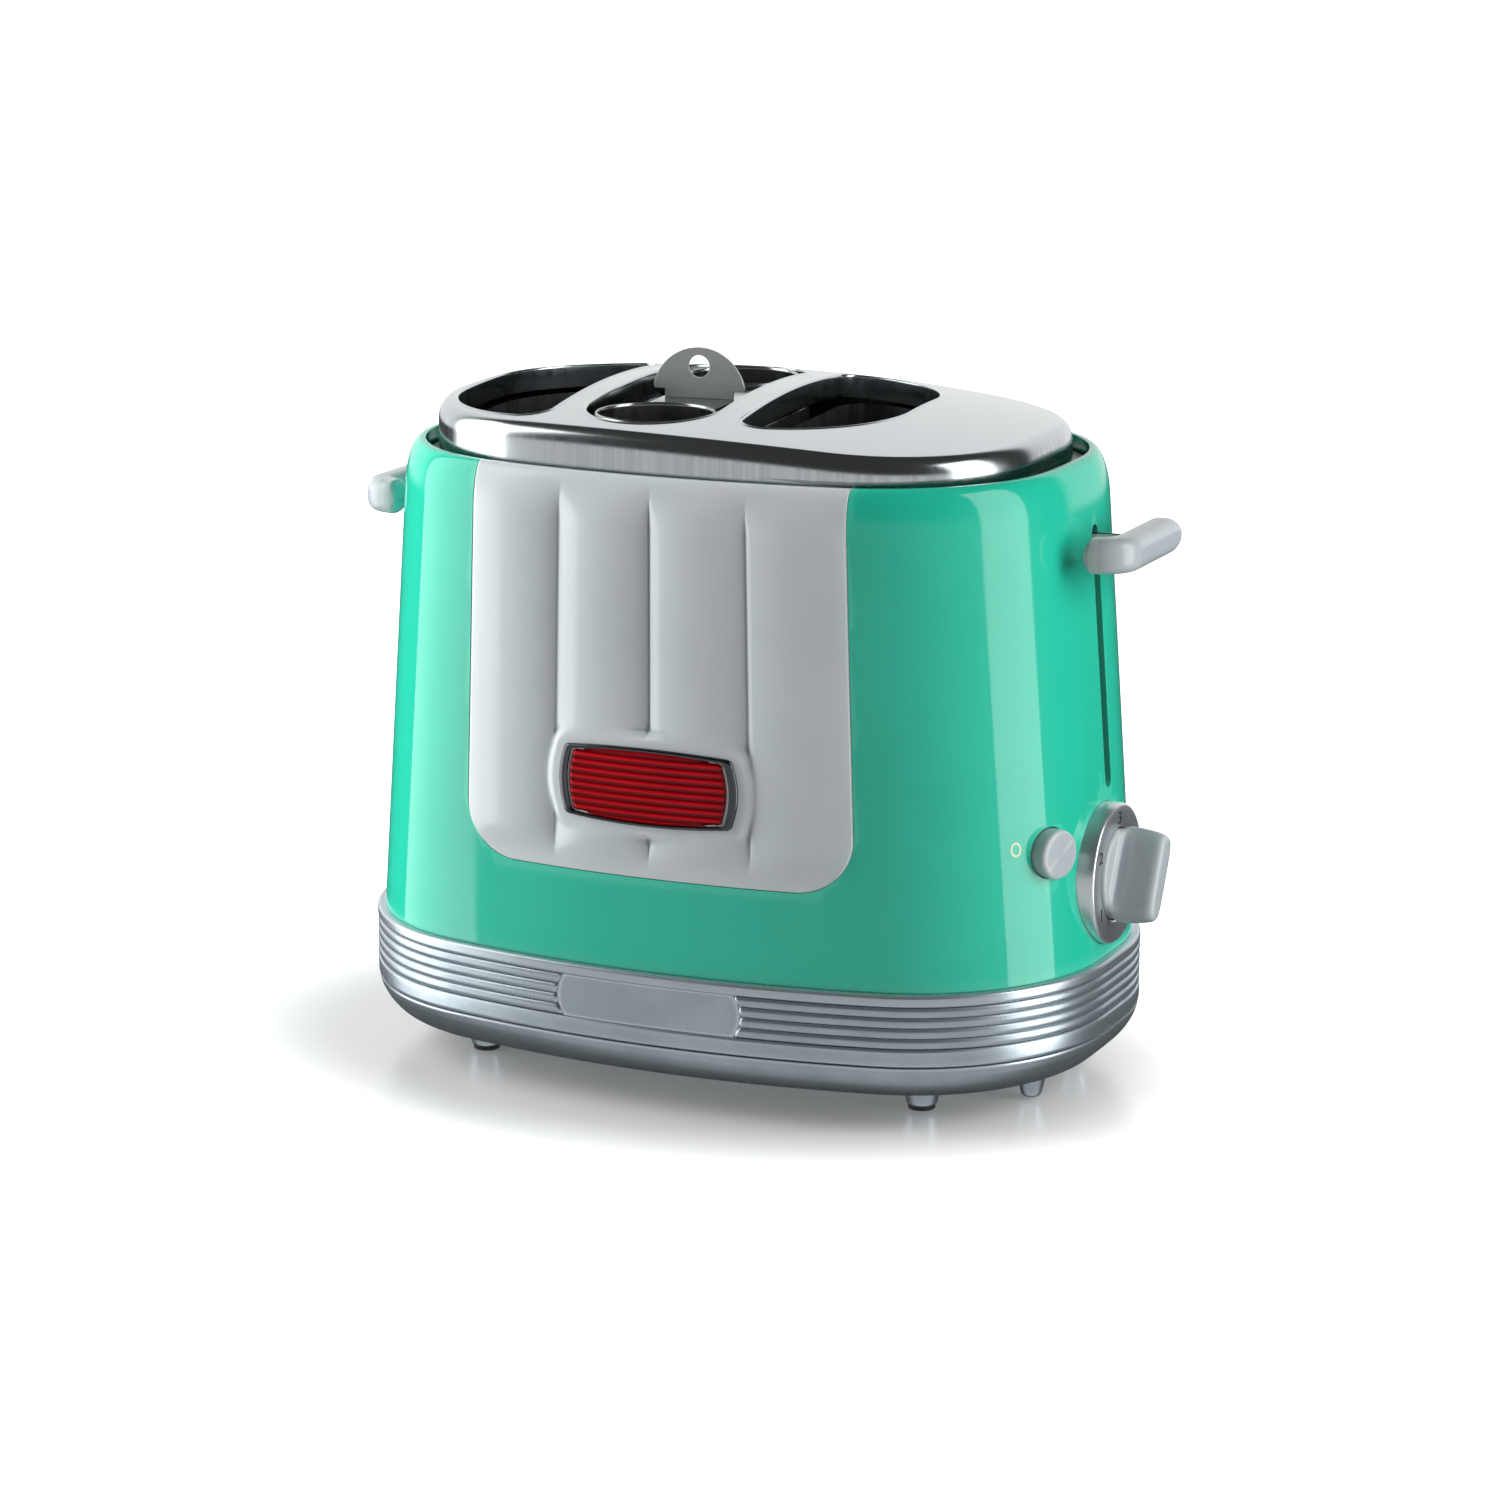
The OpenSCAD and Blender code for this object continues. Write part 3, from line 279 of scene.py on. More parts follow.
finish("satin_steel", (0.400, 0.425, 0.420), (0.450, 0.475, 0.468), (0.34, 0.42), metallic=0.3, texture=grain,
       values=((20.0, 400.0, 400.0),), bump=0.02, reach=0.00003, corner=(0.1, 0.1, 0.1))
finish("dark_chrome", (0.055, 0.058, 0.066), (0.085, 0.090, 0.100), (0.12, 0.18), metallic=1.0,
       values=(40.0, 500.0), bump=0.02, painted_highlight=(0.12, 0.125, 0.13), corner=(0.01, 0.01, 0.012))
# Between its ribs the lens takes its corner tone as painted shade.
finish("red_lens", (0.460, 0.0006, 0.0060), (0.560, 0.0012, 0.0090), (0.10, 0.14), values=(30.0, 600.0),
       painted_highlight=(0.60, 0.002, 0.010), corner=(0.070, 0.0002, 0.0012), ior=1.28, ribs=(0.1165, 0.0027))
print("outside finishes:", sorted(materials))

# %% Finishes of the inside
# The corner tones here are painted shade in the creases.
finish("galvanised_sheet", (0.330, 0.345, 0.350), (0.520, 0.535, 0.535), (0.32, 0.50), metallic=0.9,
       values=(140.0, 900.0), bump=0.10, corner=(0.08, 0.08, 0.08))
finish("liner_steel", (0.120, 0.125, 0.135), (0.230, 0.240, 0.255), (0.24, 0.40), metallic=0.9, texture=grain,
       values=((260.0, 260.0, 12.0),), bump=0.08, corner=(0.03, 0.03, 0.03))
finish("mica_sheet", (0.420, 0.340, 0.200), (0.620, 0.530, 0.360), (0.35, 0.60),
       values=(90.0, 500.0), bump=0.20)
finish("heater_ribbon", (0.100, 0.088, 0.075), (0.180, 0.165, 0.150), (0.35, 0.50), metallic=0.9,
       texture=grain, values=((40.0, 40.0, 900.0),), bump=0.05)
finish("rod_steel", (0.360, 0.370, 0.380), (0.480, 0.490, 0.500), (0.16, 0.26), metallic=1.0, texture=grain,
       values=((30.0, 30.0, 1200.0),), bump=0.05)
finish("black_plastic", (0.012, 0.012, 0.013), (0.022, 0.022, 0.024), (0.35, 0.50),
       values=(60.0, 900.0), bump=0.15)
finish("rubber_pad", (0.010, 0.010, 0.010), (0.020, 0.020, 0.020), (0.60, 0.80),
       values=(80.0, 1200.0), bump=0.30)
finish("circuit_board", (0.010, 0.085, 0.035), (0.020, 0.130, 0.055), (0.30, 0.45), texture=grain,
       values=((500.0, 60.0, 60.0),), bump=0.10)
finish("dial_ink", (0.012, 0.012, 0.014), (0.020, 0.020, 0.022), (0.40, 0.55), values=(200.0, 900.0))
finish("cream_print", (0.700, 0.740, 0.520), (0.780, 0.810, 0.600), (0.30, 0.45), values=(200.0, 900.0))
print("inside finishes:", len(materials), "in all")

# %% [markdown]
# ## Mesh helpers
#
# Nearly every piece here is a stack of rings: the body, band, pan, lid, feet, cups and knob all go round
# something. A `Shell` collects points and the faces between neighbouring rings. Openings are cut with exact
# booleans, and weighted normals afterwards keep long flat faces calm beside small rounded ones.

# %% Shell of rings
MM = 0.001


class Shell:
    """Points in millimetres and the faces between them."""

    def __init__(self):
        self.points = []
        self.faces = []

    def ring(self, points):
        start = len(self.points)
        self.points.extend(tuple(map(float, p)) for p in points)
        return list(range(start, len(self.points)))

    def join(self, first, second, closed=True):
        count = len(first) if closed else len(first) - 1
        for i in range(count):
            j = (i + 1) % len(first)
            self.faces.append((first[i], first[j], second[j], second[i]))

    def loft(self, rings, loop=False, caps=False):
        made = [self.ring(r) for r in rings]
        for first, second in zip(made, made[1:]):
            self.join(first, second)
        if loop:
            self.join(made[-1], made[0])
        if caps:
            self.faces.append(tuple(made[0]))
            self.faces.append(tuple(made[-1]))

    def slab(self, front, behind):
        """Closed plate between two grids of points of the same size."""
        grids = [np.array(self.ring(g.reshape(-1, 3))).reshape(g.shape[:2]) for g in (front, behind)]
        for g in grids:
            for low, high in zip(g, g[1:]):
                self.join(list(low), list(high), closed=False)
        rims = [list(g[0]) + list(g[1:, -1]) + list(g[-1, -2::-1]) + list(g[-2:0:-1, 0]) for g in grids]
        self.join(rims[0], rims[1])


print("Shell ready")

# %% Make, carve and dress a piece
def make(name, shell):
    """Object in the frame from a shell, with its faces turned outwards."""
    mesh = bpy.data.meshes.new(name)
    mesh.from_pydata((np.array(shell.points) * MM).tolist(), [], shell.faces)
    loose = bmesh.new()
    loose.from_mesh(mesh)
    bmesh.ops.recalc_face_normals(loose, faces=loose.faces)
    loose.to_mesh(mesh)
    loose.free()
    return add_object(name, mesh)


def lofted(name, rings, **ends):
    """Piece from one stack of rings."""
    shell = Shell()
    shell.loft(rings, **ends)
    return make(name, shell)


def plate(name, front, behind):
    """Piece from a front and a rear grid."""
    shell = Shell()
    shell.slab(np.array(front), np.array(behind))
    return make(name, shell)


def final_mesh(thing):
    """What modifiers and curves make of an object."""
    bpy.context.view_layer.update()
    return bpy.data.meshes.new_from_object(thing.evaluated_get(bpy.context.evaluated_depsgraph_get()))


def settle(thing):
    """Replace the mesh by what its modifiers make of it."""
    mesh = final_mesh(thing)
    thing.modifiers.clear()
    thing.data = mesh


def carve(thing, cutter, how="DIFFERENCE"):
    """Exact boolean with another object, which is used up."""
    modifier = thing.modifiers.new("carve", "BOOLEAN")
    modifier.operation = how
    modifier.solver = "EXACT"
    modifier.object = cutter
    settle(thing)
    bpy.data.objects.remove(cutter)


def dress(thing, body, look, stands_for=(), sharp=35, weighted=False):
    """Smooth shading, finish, body and slot of a new piece."""
    thing.data.polygons.foreach_set("use_smooth", [True] * len(thing.data.polygons))
    thing.data.set_sharp_from_angle(angle=math.radians(sharp))
    if weighted:
        modifier = thing.modifiers.new("calm", "WEIGHTED_NORMAL")
        modifier.keep_sharp = True
        settle(thing)
    thing.data.materials.clear()
    thing.data.materials.append(materials[look])
    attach(thing, body)
    if stands_for:
        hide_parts(*stands_for)
    print(f"{thing.name}: {len(thing.data.polygons)} faces on {body}")


print("make, settle, carve and dress ready")

# %% [markdown]
# ## The plan of the toaster
#
# Seen from above, the toaster is a soft rectangle: a gentle arc along each long face, a gentler one along
# each end, and a corner arc that touches both. Where arcs touch, offsets of the outline stay smooth too, so
# one function gives the plan and its outward directions, and every ring of body, band, pan and lid is
# that plan moved in or out.

# %% Plan outline from three tangent arcs
FACE_R = 370.0
END_R = 600.0
CORNER_R = 72.0
END_STEPS = 10
CORNER_STEPS = 40
FACE_STEPS = 24


def corner_centre(a, b):
    """Centre of the corner arc of a plan with half length a and half depth b."""
    face_at, end_at = b - FACE_R, a - END_R
    face_reach, end_reach = FACE_R - CORNER_R, END_R - CORNER_R
    gap = math.hypot(end_at, face_at)
    ex, ey = end_at / gap, -face_at / gap
    along = (face_reach ** 2 - end_reach ** 2 + gap ** 2) / (2 * gap)
    across = math.sqrt(face_reach ** 2 - along ** 2)
    return along * ex + across * ey, face_at + along * ey - across * ex


def four_ways(quarter):
    """Whole outline from its first quarter, which ends on the Y axis."""
    n = len(quarter) - 1
    back = quarter[n:0:-1]
    return np.concatenate([quarter[:n], back * (-1, 1), -quarter[:n], back * (1, -1)])


def plan(a, b, extra=()):
    """Points of the plan, anticlockwise from (a, 0), and their outward directions."""
    cx, cy = corner_centre(a, b)
    first = math.atan2(cy, cx - (a - END_R))
    last = math.atan2(cy - (b - FACE_R), cx)
    stations = np.arccos(np.array(extra, float) / FACE_R)
    face_turns = np.sort(np.concatenate([np.linspace(last, math.pi / 2, FACE_STEPS + 1), stations]))
    parts = [((a - END_R, 0.0), END_R, np.linspace(0, first, END_STEPS, endpoint=False)),
             ((cx, cy), CORNER_R, np.linspace(first, last, CORNER_STEPS, endpoint=False)),
             ((0.0, b - FACE_R), FACE_R, face_turns)]
    points = np.concatenate([np.array(c) + r * np.stack([np.cos(t), np.sin(t)], 1) for c, r, t in parts])
    outward = np.concatenate([np.stack([np.cos(t), np.sin(t)], 1) for _, _, t in parts])
    return four_ways(points), four_ways(outward)


def face_y(b, off, x):
    """Y of the front face at x, for a plan of half depth b moved outwards by off."""
    return -(b - FACE_R + np.sqrt((FACE_R + off) ** 2 - x ** 2))


def raised(flat, z):
    """Flat points at one height or at a height for each."""
    return np.column_stack([flat, np.broadcast_to(z, len(flat))])


def ring_of(a, b, off, z, extra=()):
    """The plan moved outwards by off, at height z."""
    points, outward = plan(a, b, extra)
    return raised(points + off * outward, z)


print("the plan has", len(plan(137.5, 90)[0]), "points")

# %% [markdown]
# ## Body shell
#
# The real body is one deep-drawn steel shell: its foot is wider than its top, and the shoulder rolls over
# into a flat rim with a lip inside. It could be drawn as one surface, or built as a stack of rings. Rings
# are easier here, since the plan changes slowly with height and the shoulder is a quarter ellipse, and the
# openings for panel, levers, dial, button and vents are then cut out, as in the press.

# %% Heights and sizes of the body
BODY_Z = 50.0
FOOT_SIZE = 137.5, 90.0
RIM_IN = 13.0, 1.5
RIM_Z = 223.5
SHOULDER_IN = 5.2
SHOULDER_DROP = 16.0
SHOULDER_Z = RIM_Z - SHOULDER_DROP
LIP_Z = 218.6
SLOT_Y = 7.5
SLOT_HALF = 3.0
SLOT_SPAN = 111.0, 198.5
VENT_HALF = 40.0
VENT_LEVELS = range(60, 97, 6)
VENT_GAP = 2.4
DIAL_Z = 79.2
BUTTON_Z = 94.6
BUTTON_TURN = math.radians(-22)
PANEL_Z = 83.5
PANEL_GAP = 0.14
CUT_TOP = 240.0
WINDOW_CUT_Y = -60, -130
SLOT_CUT_X = 112, 146
VENT_CUT_Y = 70, 110
DIAL_HOLE = 25.15
BUTTON_HOLE = 9.1
PANEL_CORNER = 20.0
PANEL_LOW = 74.0
PANEL_TOP = 69.5


def body_size(z):
    """Half length and half depth of the body at height z."""
    share = (z - BODY_Z) / (RIM_Z - BODY_Z)
    return FOOT_SIZE[0] - RIM_IN[0] * share, FOOT_SIZE[1] - RIM_IN[1] * share


def body_ring(off, z):
    return ring_of(*body_size(z), off, z)


def shoulder(turn):
    """Offset and height on the shoulder's quarter ellipse, at a turn in degrees."""
    t = math.radians(turn)
    return -SHOULDER_IN * (1 - math.cos(t)), SHOULDER_Z + SHOULDER_DROP * math.sin(t)


def window_half(z):
    """Half width of the panel at height z, with its round lower corners."""
    z = np.asarray(z, float)
    foot = PANEL_Z + PANEL_CORNER
    upper = PANEL_LOW + (PANEL_TOP - PANEL_LOW) * (z - foot) / (RIM_Z - PANEL_Z)
    drop = np.clip(foot - z, 0, PANEL_CORNER)
    lower = PANEL_LOW - PANEL_CORNER + np.sqrt(PANEL_CORNER ** 2 - drop ** 2)
    return np.where(z >= foot, upper, lower)


print("body foot", body_size(BODY_Z), "and rim", body_size(RIM_Z))

# %% Cutters for the openings
def block(name, low, high):
    """Box between two corners."""
    (x0, y0, z0), (x1, y1, z1) = low, high
    return lofted(name, [[(x0, y0, z), (x1, y0, z), (x1, y1, z), (x0, y1, z)] for z in (z0, z1)], caps=True)


def turned_rings(profile, origin, axis=(0, 0, 1), side=(1, 0, 0), steps=96):
    """Rings of a turned piece from (radius, height) pairs about an axis through origin."""
    axis, side = np.array(axis, float), np.array(side, float)
    turns = np.linspace(0, 2 * math.pi, steps, endpoint=False)
    circle = np.cos(turns)[:, None] * side + np.sin(turns)[:, None] * np.cross(axis, side)
    return [np.array(origin) + r * circle + h * axis for r, h in profile]


def turned(name, profile, origin, axis=(0, 0, 1), side=(1, 0, 0), steps=96, loop=False):
    """Turned piece; with loop the profile closes on itself, else its ends are capped."""
    return lofted(name, turned_rings(profile, origin, axis, side, steps), loop=loop, caps=not loop)


corner = corner_centre(*body_size(BUTTON_Z))
button_axis = np.array((math.cos(BUTTON_TURN), math.sin(BUTTON_TURN), 0.0))
button_spot = np.array((corner[0], -corner[1], BUTTON_Z)) + CORNER_R * button_axis
BUTTON_LINE = button_spot, button_axis, (-button_axis[1], button_axis[0], 0.0)
DIAL_LINE = (0, 0, DIAL_Z), (1, 0, 0), (0, 1, 0)
print("stop button at", button_spot.round(1))

# %% Body shell with its openings
levels = [(-0.45, 50.0), (-0.12, 50.12), (0.0, 50.5)] + [(0.0, z) for z in np.linspace(56, 206, 26)]
levels += [shoulder(t) for t in np.linspace(0, 90, 19)]
levels += [(-6.2, 223.5), (-6.5, 223.4), (-6.6, 223.1), (-6.6, 221.0), (-6.6, LIP_Z), (-5.4, 216.9),
           (-4.1, 215.2), (-3.2, 209.0), (-2.5, 203.5), (-2.5, 150.0), (-2.5, 100.0), (-2.5, 50.0)]
body = lofted("body_shell", [body_ring(off, z) for off, z in levels], loop=True)

window_rows = PANEL_Z + PANEL_CORNER * (1 - np.cos(np.radians(np.arange(0, 90, 4))))
heights = np.concatenate([window_rows, np.linspace(PANEL_Z + PANEL_CORNER, CUT_TOP, 12)])
half = window_half(heights) + PANEL_GAP
heights[0] -= PANEL_GAP
outline = np.concatenate([np.column_stack([half, heights]), np.column_stack([-half, heights])[::-1]])
carve(body, lofted("cut_window", [[(x, y, z) for x, z in outline] for y in WINDOW_CUT_Y], caps=True))

for side in (-1, 1):
    arch = np.radians(np.linspace(0, 180, 17))
    stadium = [(SLOT_Y + way * SLOT_HALF * math.cos(t), level + way * SLOT_HALF * math.sin(t))
               for way, level in ((1, SLOT_SPAN[1]), (-1, SLOT_SPAN[0])) for t in arch]
    carve(body, lofted("cut_slot", [[(side * x, y, z) for y, z in stadium] for x in SLOT_CUT_X], caps=True))
carve(body, turned("cut_dial", [(DIAL_HOLE, 110), (DIAL_HOLE, 150)], *DIAL_LINE))
carve(body, turned("cut_button", [(BUTTON_HOLE, -12), (BUTTON_HOLE, 12)], *BUTTON_LINE, 64))
for z in VENT_LEVELS:
    low, high = (-VENT_HALF, VENT_CUT_Y[0], z), (VENT_HALF, VENT_CUT_Y[1], z + VENT_GAP)
    carve(body, block("cut_vent", low, high))
dress(body, "housing", "teal_gloss", ["body_shell"], weighted=True)

# %% [markdown]
# ## Stop mark
#
# A small ring is printed beside the stop button on the real appliance. It could be a line in the paint's
# material, but a very thin ring of its own stays crisp close up and can take its own tone.

# %% Printed ring beside the stop button
MARK_Z = 98.0
MARK_TURN = math.radians(-34.2)
MARK_OUTER = 2.6, 2.2
MARK_INNER = 1.872, 1.452


def mark_ring(high, wide, out):
    """Oval of half height high and half width wide, out from the paint of the body's corner."""
    ring = []
    for t in np.linspace(0, 2 * math.pi, 48, endpoint=False):
        z = MARK_Z + high * math.sin(t)
        turn = MARK_TURN + wide * math.cos(t) / CORNER_R
        cx, cy = corner_centre(*body_size(z))
        ring.append((cx + (CORNER_R + out) * math.cos(turn), -cy + (CORNER_R + out) * math.sin(turn), z))
    return ring


sections = ((MARK_OUTER, 0.02), (MARK_OUTER, 0.07), (MARK_INNER, 0.07), (MARK_INNER, 0.02))
mark = lofted("stop_mark", [mark_ring(*size, out) for size, out in sections], loop=True)
dress(mark, "housing", "cream_print", sharp=60)

# %% [markdown]
# ## Fluted front panel
#
# The panel is a moulding that fills a window in the shell and runs over the shoulder to the inner lip. Its
# four flutes are highest in their middle and meet in creases. A grid follows the face: columns stay on
# the creases, rows follow the shoulder, and the height of flutes, badge boss and rounded edge is added
# point by point. Moving points of a regular grid keeps the creases sharp, which cutting would not.

# %% Height of the flutes and shape of the badge
FLUTE_CREST = 2.0
FLUTE_VALLEY = 1.4
BADGE_Z = 116.5
BADGE_W = 68.5
BADGE_H = 27.8
BADGE_BOW = 240.0
TOP_BOW = 1.3


def ease(value, low, high):
    t = np.clip((value - low) / (high - low), 0, 1)
    return t * t * (3 - 2 * t)


def panel_half(z):
    return (PANEL_LOW + (PANEL_TOP - PANEL_LOW) * (z - PANEL_Z - PANEL_CORNER)
            / (RIM_Z - PANEL_Z - PANEL_CORNER))


def flute(s, z):
    """Height of the flutes at s from -1 to 1 across the panel."""
    t = (s + 1) * 2
    k = np.clip(np.floor(t), 0, 3)
    u = 2 * (t - k) - 1
    outer = ((k == 0) & (u < 0)) | ((k == 3) & (u > 0))
    low = np.where(outer, 0.0, -FLUTE_VALLEY)
    rise = low + (FLUTE_CREST - low) * np.clip(1 - u * u, 0, 1) ** 0.7
    fade = ease(z, PANEL_Z + 2, PANEL_Z + 15) * (1 - ease(z, RIM_Z - 18, RIM_Z - 1))
    return np.where(np.abs(s) >= 1, 0.0, rise * fade)


def barrel(w, h, bow, r, steps=14):
    """Outline of the badge: bowed sides, round corners and slightly bowed top and bottom."""
    cx, cy = w / 2 - bow - r, h / 2 - TOP_BOW - r
    side = [(w / 2 - bow * (k / steps) ** 2, cy * k / steps) for k in range(steps)]
    bend = [(cx + r * math.cos(t), cy + r * math.sin(t))
            for t in np.linspace(0, math.pi / 2, steps, endpoint=False)]
    top = [(cx * k / steps, h / 2 - TOP_BOW * (k / steps) ** 2) for k in range(steps, 0, -1)]
    return four_ways(np.array(side + bend + top + [(0, h / 2)]))


def outside(points, outline):
    """Distance of points outside a closed outline, negative inside."""
    p = points.reshape(-1, 1, 2)
    a, b = outline[None], np.roll(outline, -1, 0)[None]
    edge = b - a
    along = np.clip(((p - a) * edge).sum(2) / (edge ** 2).sum(2), 0, 1)
    near = np.linalg.norm(p - a - along[..., None] * edge, axis=2).min(1)
    crosses = (a[..., 1] > p[..., 1]) != (b[..., 1] > p[..., 1])
    with np.errstate(divide="ignore", invalid="ignore"):
        at = a[..., 0] + (p[..., 1] - a[..., 1]) * edge[..., 0] / edge[..., 1]
    inside = (crosses & (p[..., 0] < at)).sum(1) % 2 == 1
    return np.where(inside, -near, near).reshape(points.shape[:-1])


print("flute crest at", flute(np.array([-0.75, -0.25, 0.0]), 150.0).round(2))

# %% Front panel grid
PANEL_THICK = 1.8
EDGE_ROLL = 0.6
BOSS_FACE = 91.7
BOSS_FADE = 3.4
BEHIND_LIP = 3.8, 9.9

rows = [(0.0, z) for z in window_rows]
rows += [(0.0, z) for z in np.linspace(PANEL_Z + PANEL_CORNER, SHOULDER_Z, 84)]
straight_rows = len(rows)
rows += [shoulder(t) for t in np.linspace(5, 90, 18)]
rows += [(-6.1, 223.5), (-6.45, 223.4), (-6.6, 223.1), (-6.6, 221.5), (-6.6, 220.0), (-6.6, LIP_Z)]
inner = np.linspace(-1, 1, 125) * 0.6
tail = np.linspace(0, 1, 34)[1:]
edge_steps = np.array([0.9, 0.65, 0.42, 0.24, 0.1, 0.0])
badge_line = barrel(BADGE_W + 6.0, BADGE_H + 5.6, 1.8, 5.0)


def panel_columns(z, half_here):
    """X of a row's points: even over the flutes and close together at the rounded edges."""
    centre = inner * panel_half(z)
    wing = np.concatenate([centre[-1] + (half_here - 1.2 - centre[-1]) * tail, half_here - edge_steps])
    return np.concatenate([-wing[::-1], centre, wing])


def edge_drop(x, z, half_here):
    """How far the rounded edge falls back near the panel's outline."""
    foot = PANEL_Z + PANEL_CORNER
    in_corner = (np.abs(x) > PANEL_LOW - PANEL_CORNER) & (z < foot)
    reach = np.where(in_corner, PANEL_CORNER - np.hypot(np.abs(x) - PANEL_LOW + PANEL_CORNER, foot - z),
                     np.minimum(half_here - np.abs(x), z - PANEL_Z if z < foot else 99))
    near = EDGE_ROLL - np.clip(reach, 0, EDGE_ROLL)
    return EDGE_ROLL - np.sqrt(np.clip(EDGE_ROLL ** 2 - near ** 2, 0, None))


front, behind = [], []
for index, (off, z) in enumerate(rows):
    half_here = float(window_half(min(z, RIM_Z)))
    x = panel_columns(z, half_here)
    face = face_y(body_size(z)[1], off, x) - flute(x / panel_half(z), z) + edge_drop(x, z, half_here)
    near = outside(raised(x[:, None], z - BADGE_Z), badge_line)
    boss = 1 - ease(near, 0.0, BOSS_FADE)
    face = face + (np.minimum(face, x ** 2 / (2 * BADGE_BOW) - BOSS_FACE) - face) * boss
    front.append(np.column_stack([x, face, np.full_like(x, z)]))
    share = max(0, index - straight_rows) / (len(rows) - straight_rows)
    back_z = z if index < straight_rows else SHOULDER_Z + BEHIND_LIP[1] * share
    y = face_y(body_size(back_z)[1], -PANEL_THICK - BEHIND_LIP[0] * share, x)
    behind.append(np.column_stack([x, y, np.full_like(x, back_z)]))
dress(plate("front_panel", front, behind), "housing", "white_gloss", ["front_panel"], sharp=24)

# %% [markdown]
# ## Badge
#
# The badge is two mouldings: a dark plated frame with a rounded face, and a clear red lens with fine
# horizontal ribs that is rolled down at its ends. The frame is a ring swept from the outer outline to the
# inner one. The lens is a grid whose ribs are real relief, with a darker red painted between them as shade.

# %% Badge frame
outer = barrel(BADGE_W, BADGE_H, 1.8, 2.6)
inner_line = barrel(BADGE_W - 7, BADGE_H - 2.8, 1.4, 2.0)
profile = [(0, 89.0), (0, 91.5), (0.03, 92.0), (0.10, 92.45), (0.22, 92.75), (0.38, 92.93), (0.52, 93.0),
           (0.68, 92.98), (0.84, 92.9), (0.94, 92.75), (1, 92.5), (1, 90.0), (0.5, 89.0)]
rings = []
for share, forward in profile:
    x, z = (outer + (inner_line - outer) * share).T
    rings.append(np.column_stack([x, x ** 2 / (2 * BADGE_BOW) - forward, z + BADGE_Z]))
dress(lofted("badge_frame", rings, loop=True), "housing", "dark_chrome", ["badge_frame"], sharp=50)

# %% Badge lens with fine ribs
LENS_W, LENS_H, LENS_BOW = 61.4, 24.9, 1.3
LENS_CORNER = 2.2
LENS_FRONT, LENS_BACK = 92.35, 89.6
RIB, RIB_DEPTH = 2.7, 0.45
END_BOW = 1.4
lift = np.concatenate([[-1, -0.985], np.linspace(-0.97, 0.97, 181), [0.985, 1]])
across = np.sort(np.concatenate([np.linspace(-1, 1, 61), [-0.985, -0.95, 0.95, 0.985]]))
corner_z = LENS_H / 2 - LENS_BOW - LENS_CORNER
front, behind = [], []
for level in lift:
    z = level * (LENS_H / 2 - LENS_BOW)
    over = np.clip(abs(z) - corner_z, 0, LENS_CORNER - 0.05)
    round_off = LENS_CORNER - math.sqrt(LENS_CORNER ** 2 - over ** 2)
    width = LENS_W / 2 - END_BOW * min(1, abs(z) / corner_z) ** 2 - round_off
    x = across * width
    height = z + level * LENS_BOW * (1 - (x / (LENS_W / 2 - END_BOW - LENS_CORNER)) ** 2).clip(0, 1)
    end = width - np.abs(x)
    top = (1 - abs(level)) * LENS_H / 2
    face = LENS_FRONT + 0.25 * (1 - across ** 2) - x ** 2 / (2 * BADGE_BOW)
    face = face - RIB_DEPTH * np.abs(np.cos(math.pi * height / RIB)) ** 3 * ease(end, 0.6, 2.6)
    face = face - 0.9 * (1 - ease(end, 0.0, 1.8)) - 0.5 * (1 - ease(top, 0.0, 1.0))
    front.append(np.column_stack([x, -face, height + BADGE_Z]))
    behind.append(np.column_stack([x, np.full_like(x, -LENS_BACK), height + BADGE_Z]))
dress(plate("badge_lens", front, behind), "housing", "red_lens", ["badge_lens"], sharp=60)

# %% [markdown]
# ## Ribbed band and bare plate
#
# The band is one silver moulding round the base: a plain strip above, four half-round ribs, and a plain
# strip below. At the front the ribs stop in round noses on both sides of a recessed plate, which is bare
# here. The noses and the recess are worked into the ring's offset before it is made, so the ribs stay one
# surface with the band. At the back the crumb tray's front is cut from the same rings, so it fits its gap.

# %% Band with ribs that end in round noses
BAND_OUT = 3.0
RIB_Z0 = 30.8
RIB_PITCH = 3.7
RIB_RISE = 1.05
RECESS_OUT = 0.9
PLATE_HALF = 32.5
PLATE_BOW = 2.5
SIDE_STATIONS = np.concatenate([np.arange(31.0, 38.6, 0.3), [40.0]])
TRAY_GAP = (-107.4, 40, 22), (61.4, 120, 30.9)
TRAY_FRONT = (-107, 40, 24.4), (61, 120, 30.2)
INLET_SPOT = 92, 60, 41.2
INLET_HOLE = 6.1
RIB_STEPS = (-1, -0.97, -0.9, -0.76, -0.55, -0.28, 0.0, 0.28, 0.55, 0.76, 0.9, 0.97)

foot_a, foot_b = body_size(BODY_Z)
points, outward = plan(foot_a, foot_b, SIDE_STATIONS)
at_front = points[:, 1] < 0
from_middle = np.abs(points[:, 0])


def plate_half(z):
    """Half width of the plate, whose ends bow outwards."""
    v = (z - RIB_Z0) / (2 * RIB_PITCH) - 1
    return PLATE_HALF + PLATE_BOW * (1 - v * v)


def band_ring(off, z, u=None):
    """Ring of the band; u from -1 to 1 places it on a rib."""
    off = np.full(len(points), float(off))
    if u is not None:
        past = from_middle - plate_half(z)
        nose = np.clip(1 - past / 1.3, 0, None) * at_front
        spread = np.hypot(u, nose)
        off = BAND_OUT - 1.15 + np.sqrt(np.clip(1 - spread ** 2.2, 0, None)) * RIB_RISE
    if RIB_Z0 - 0.25 < z < RIB_Z0 + 4 * RIB_PITCH + 0.25:
        off = np.where(at_front & (from_middle < plate_half(z) - 0.2), RECESS_OUT, off)
    return raised(points + off[:, None] * outward, z)


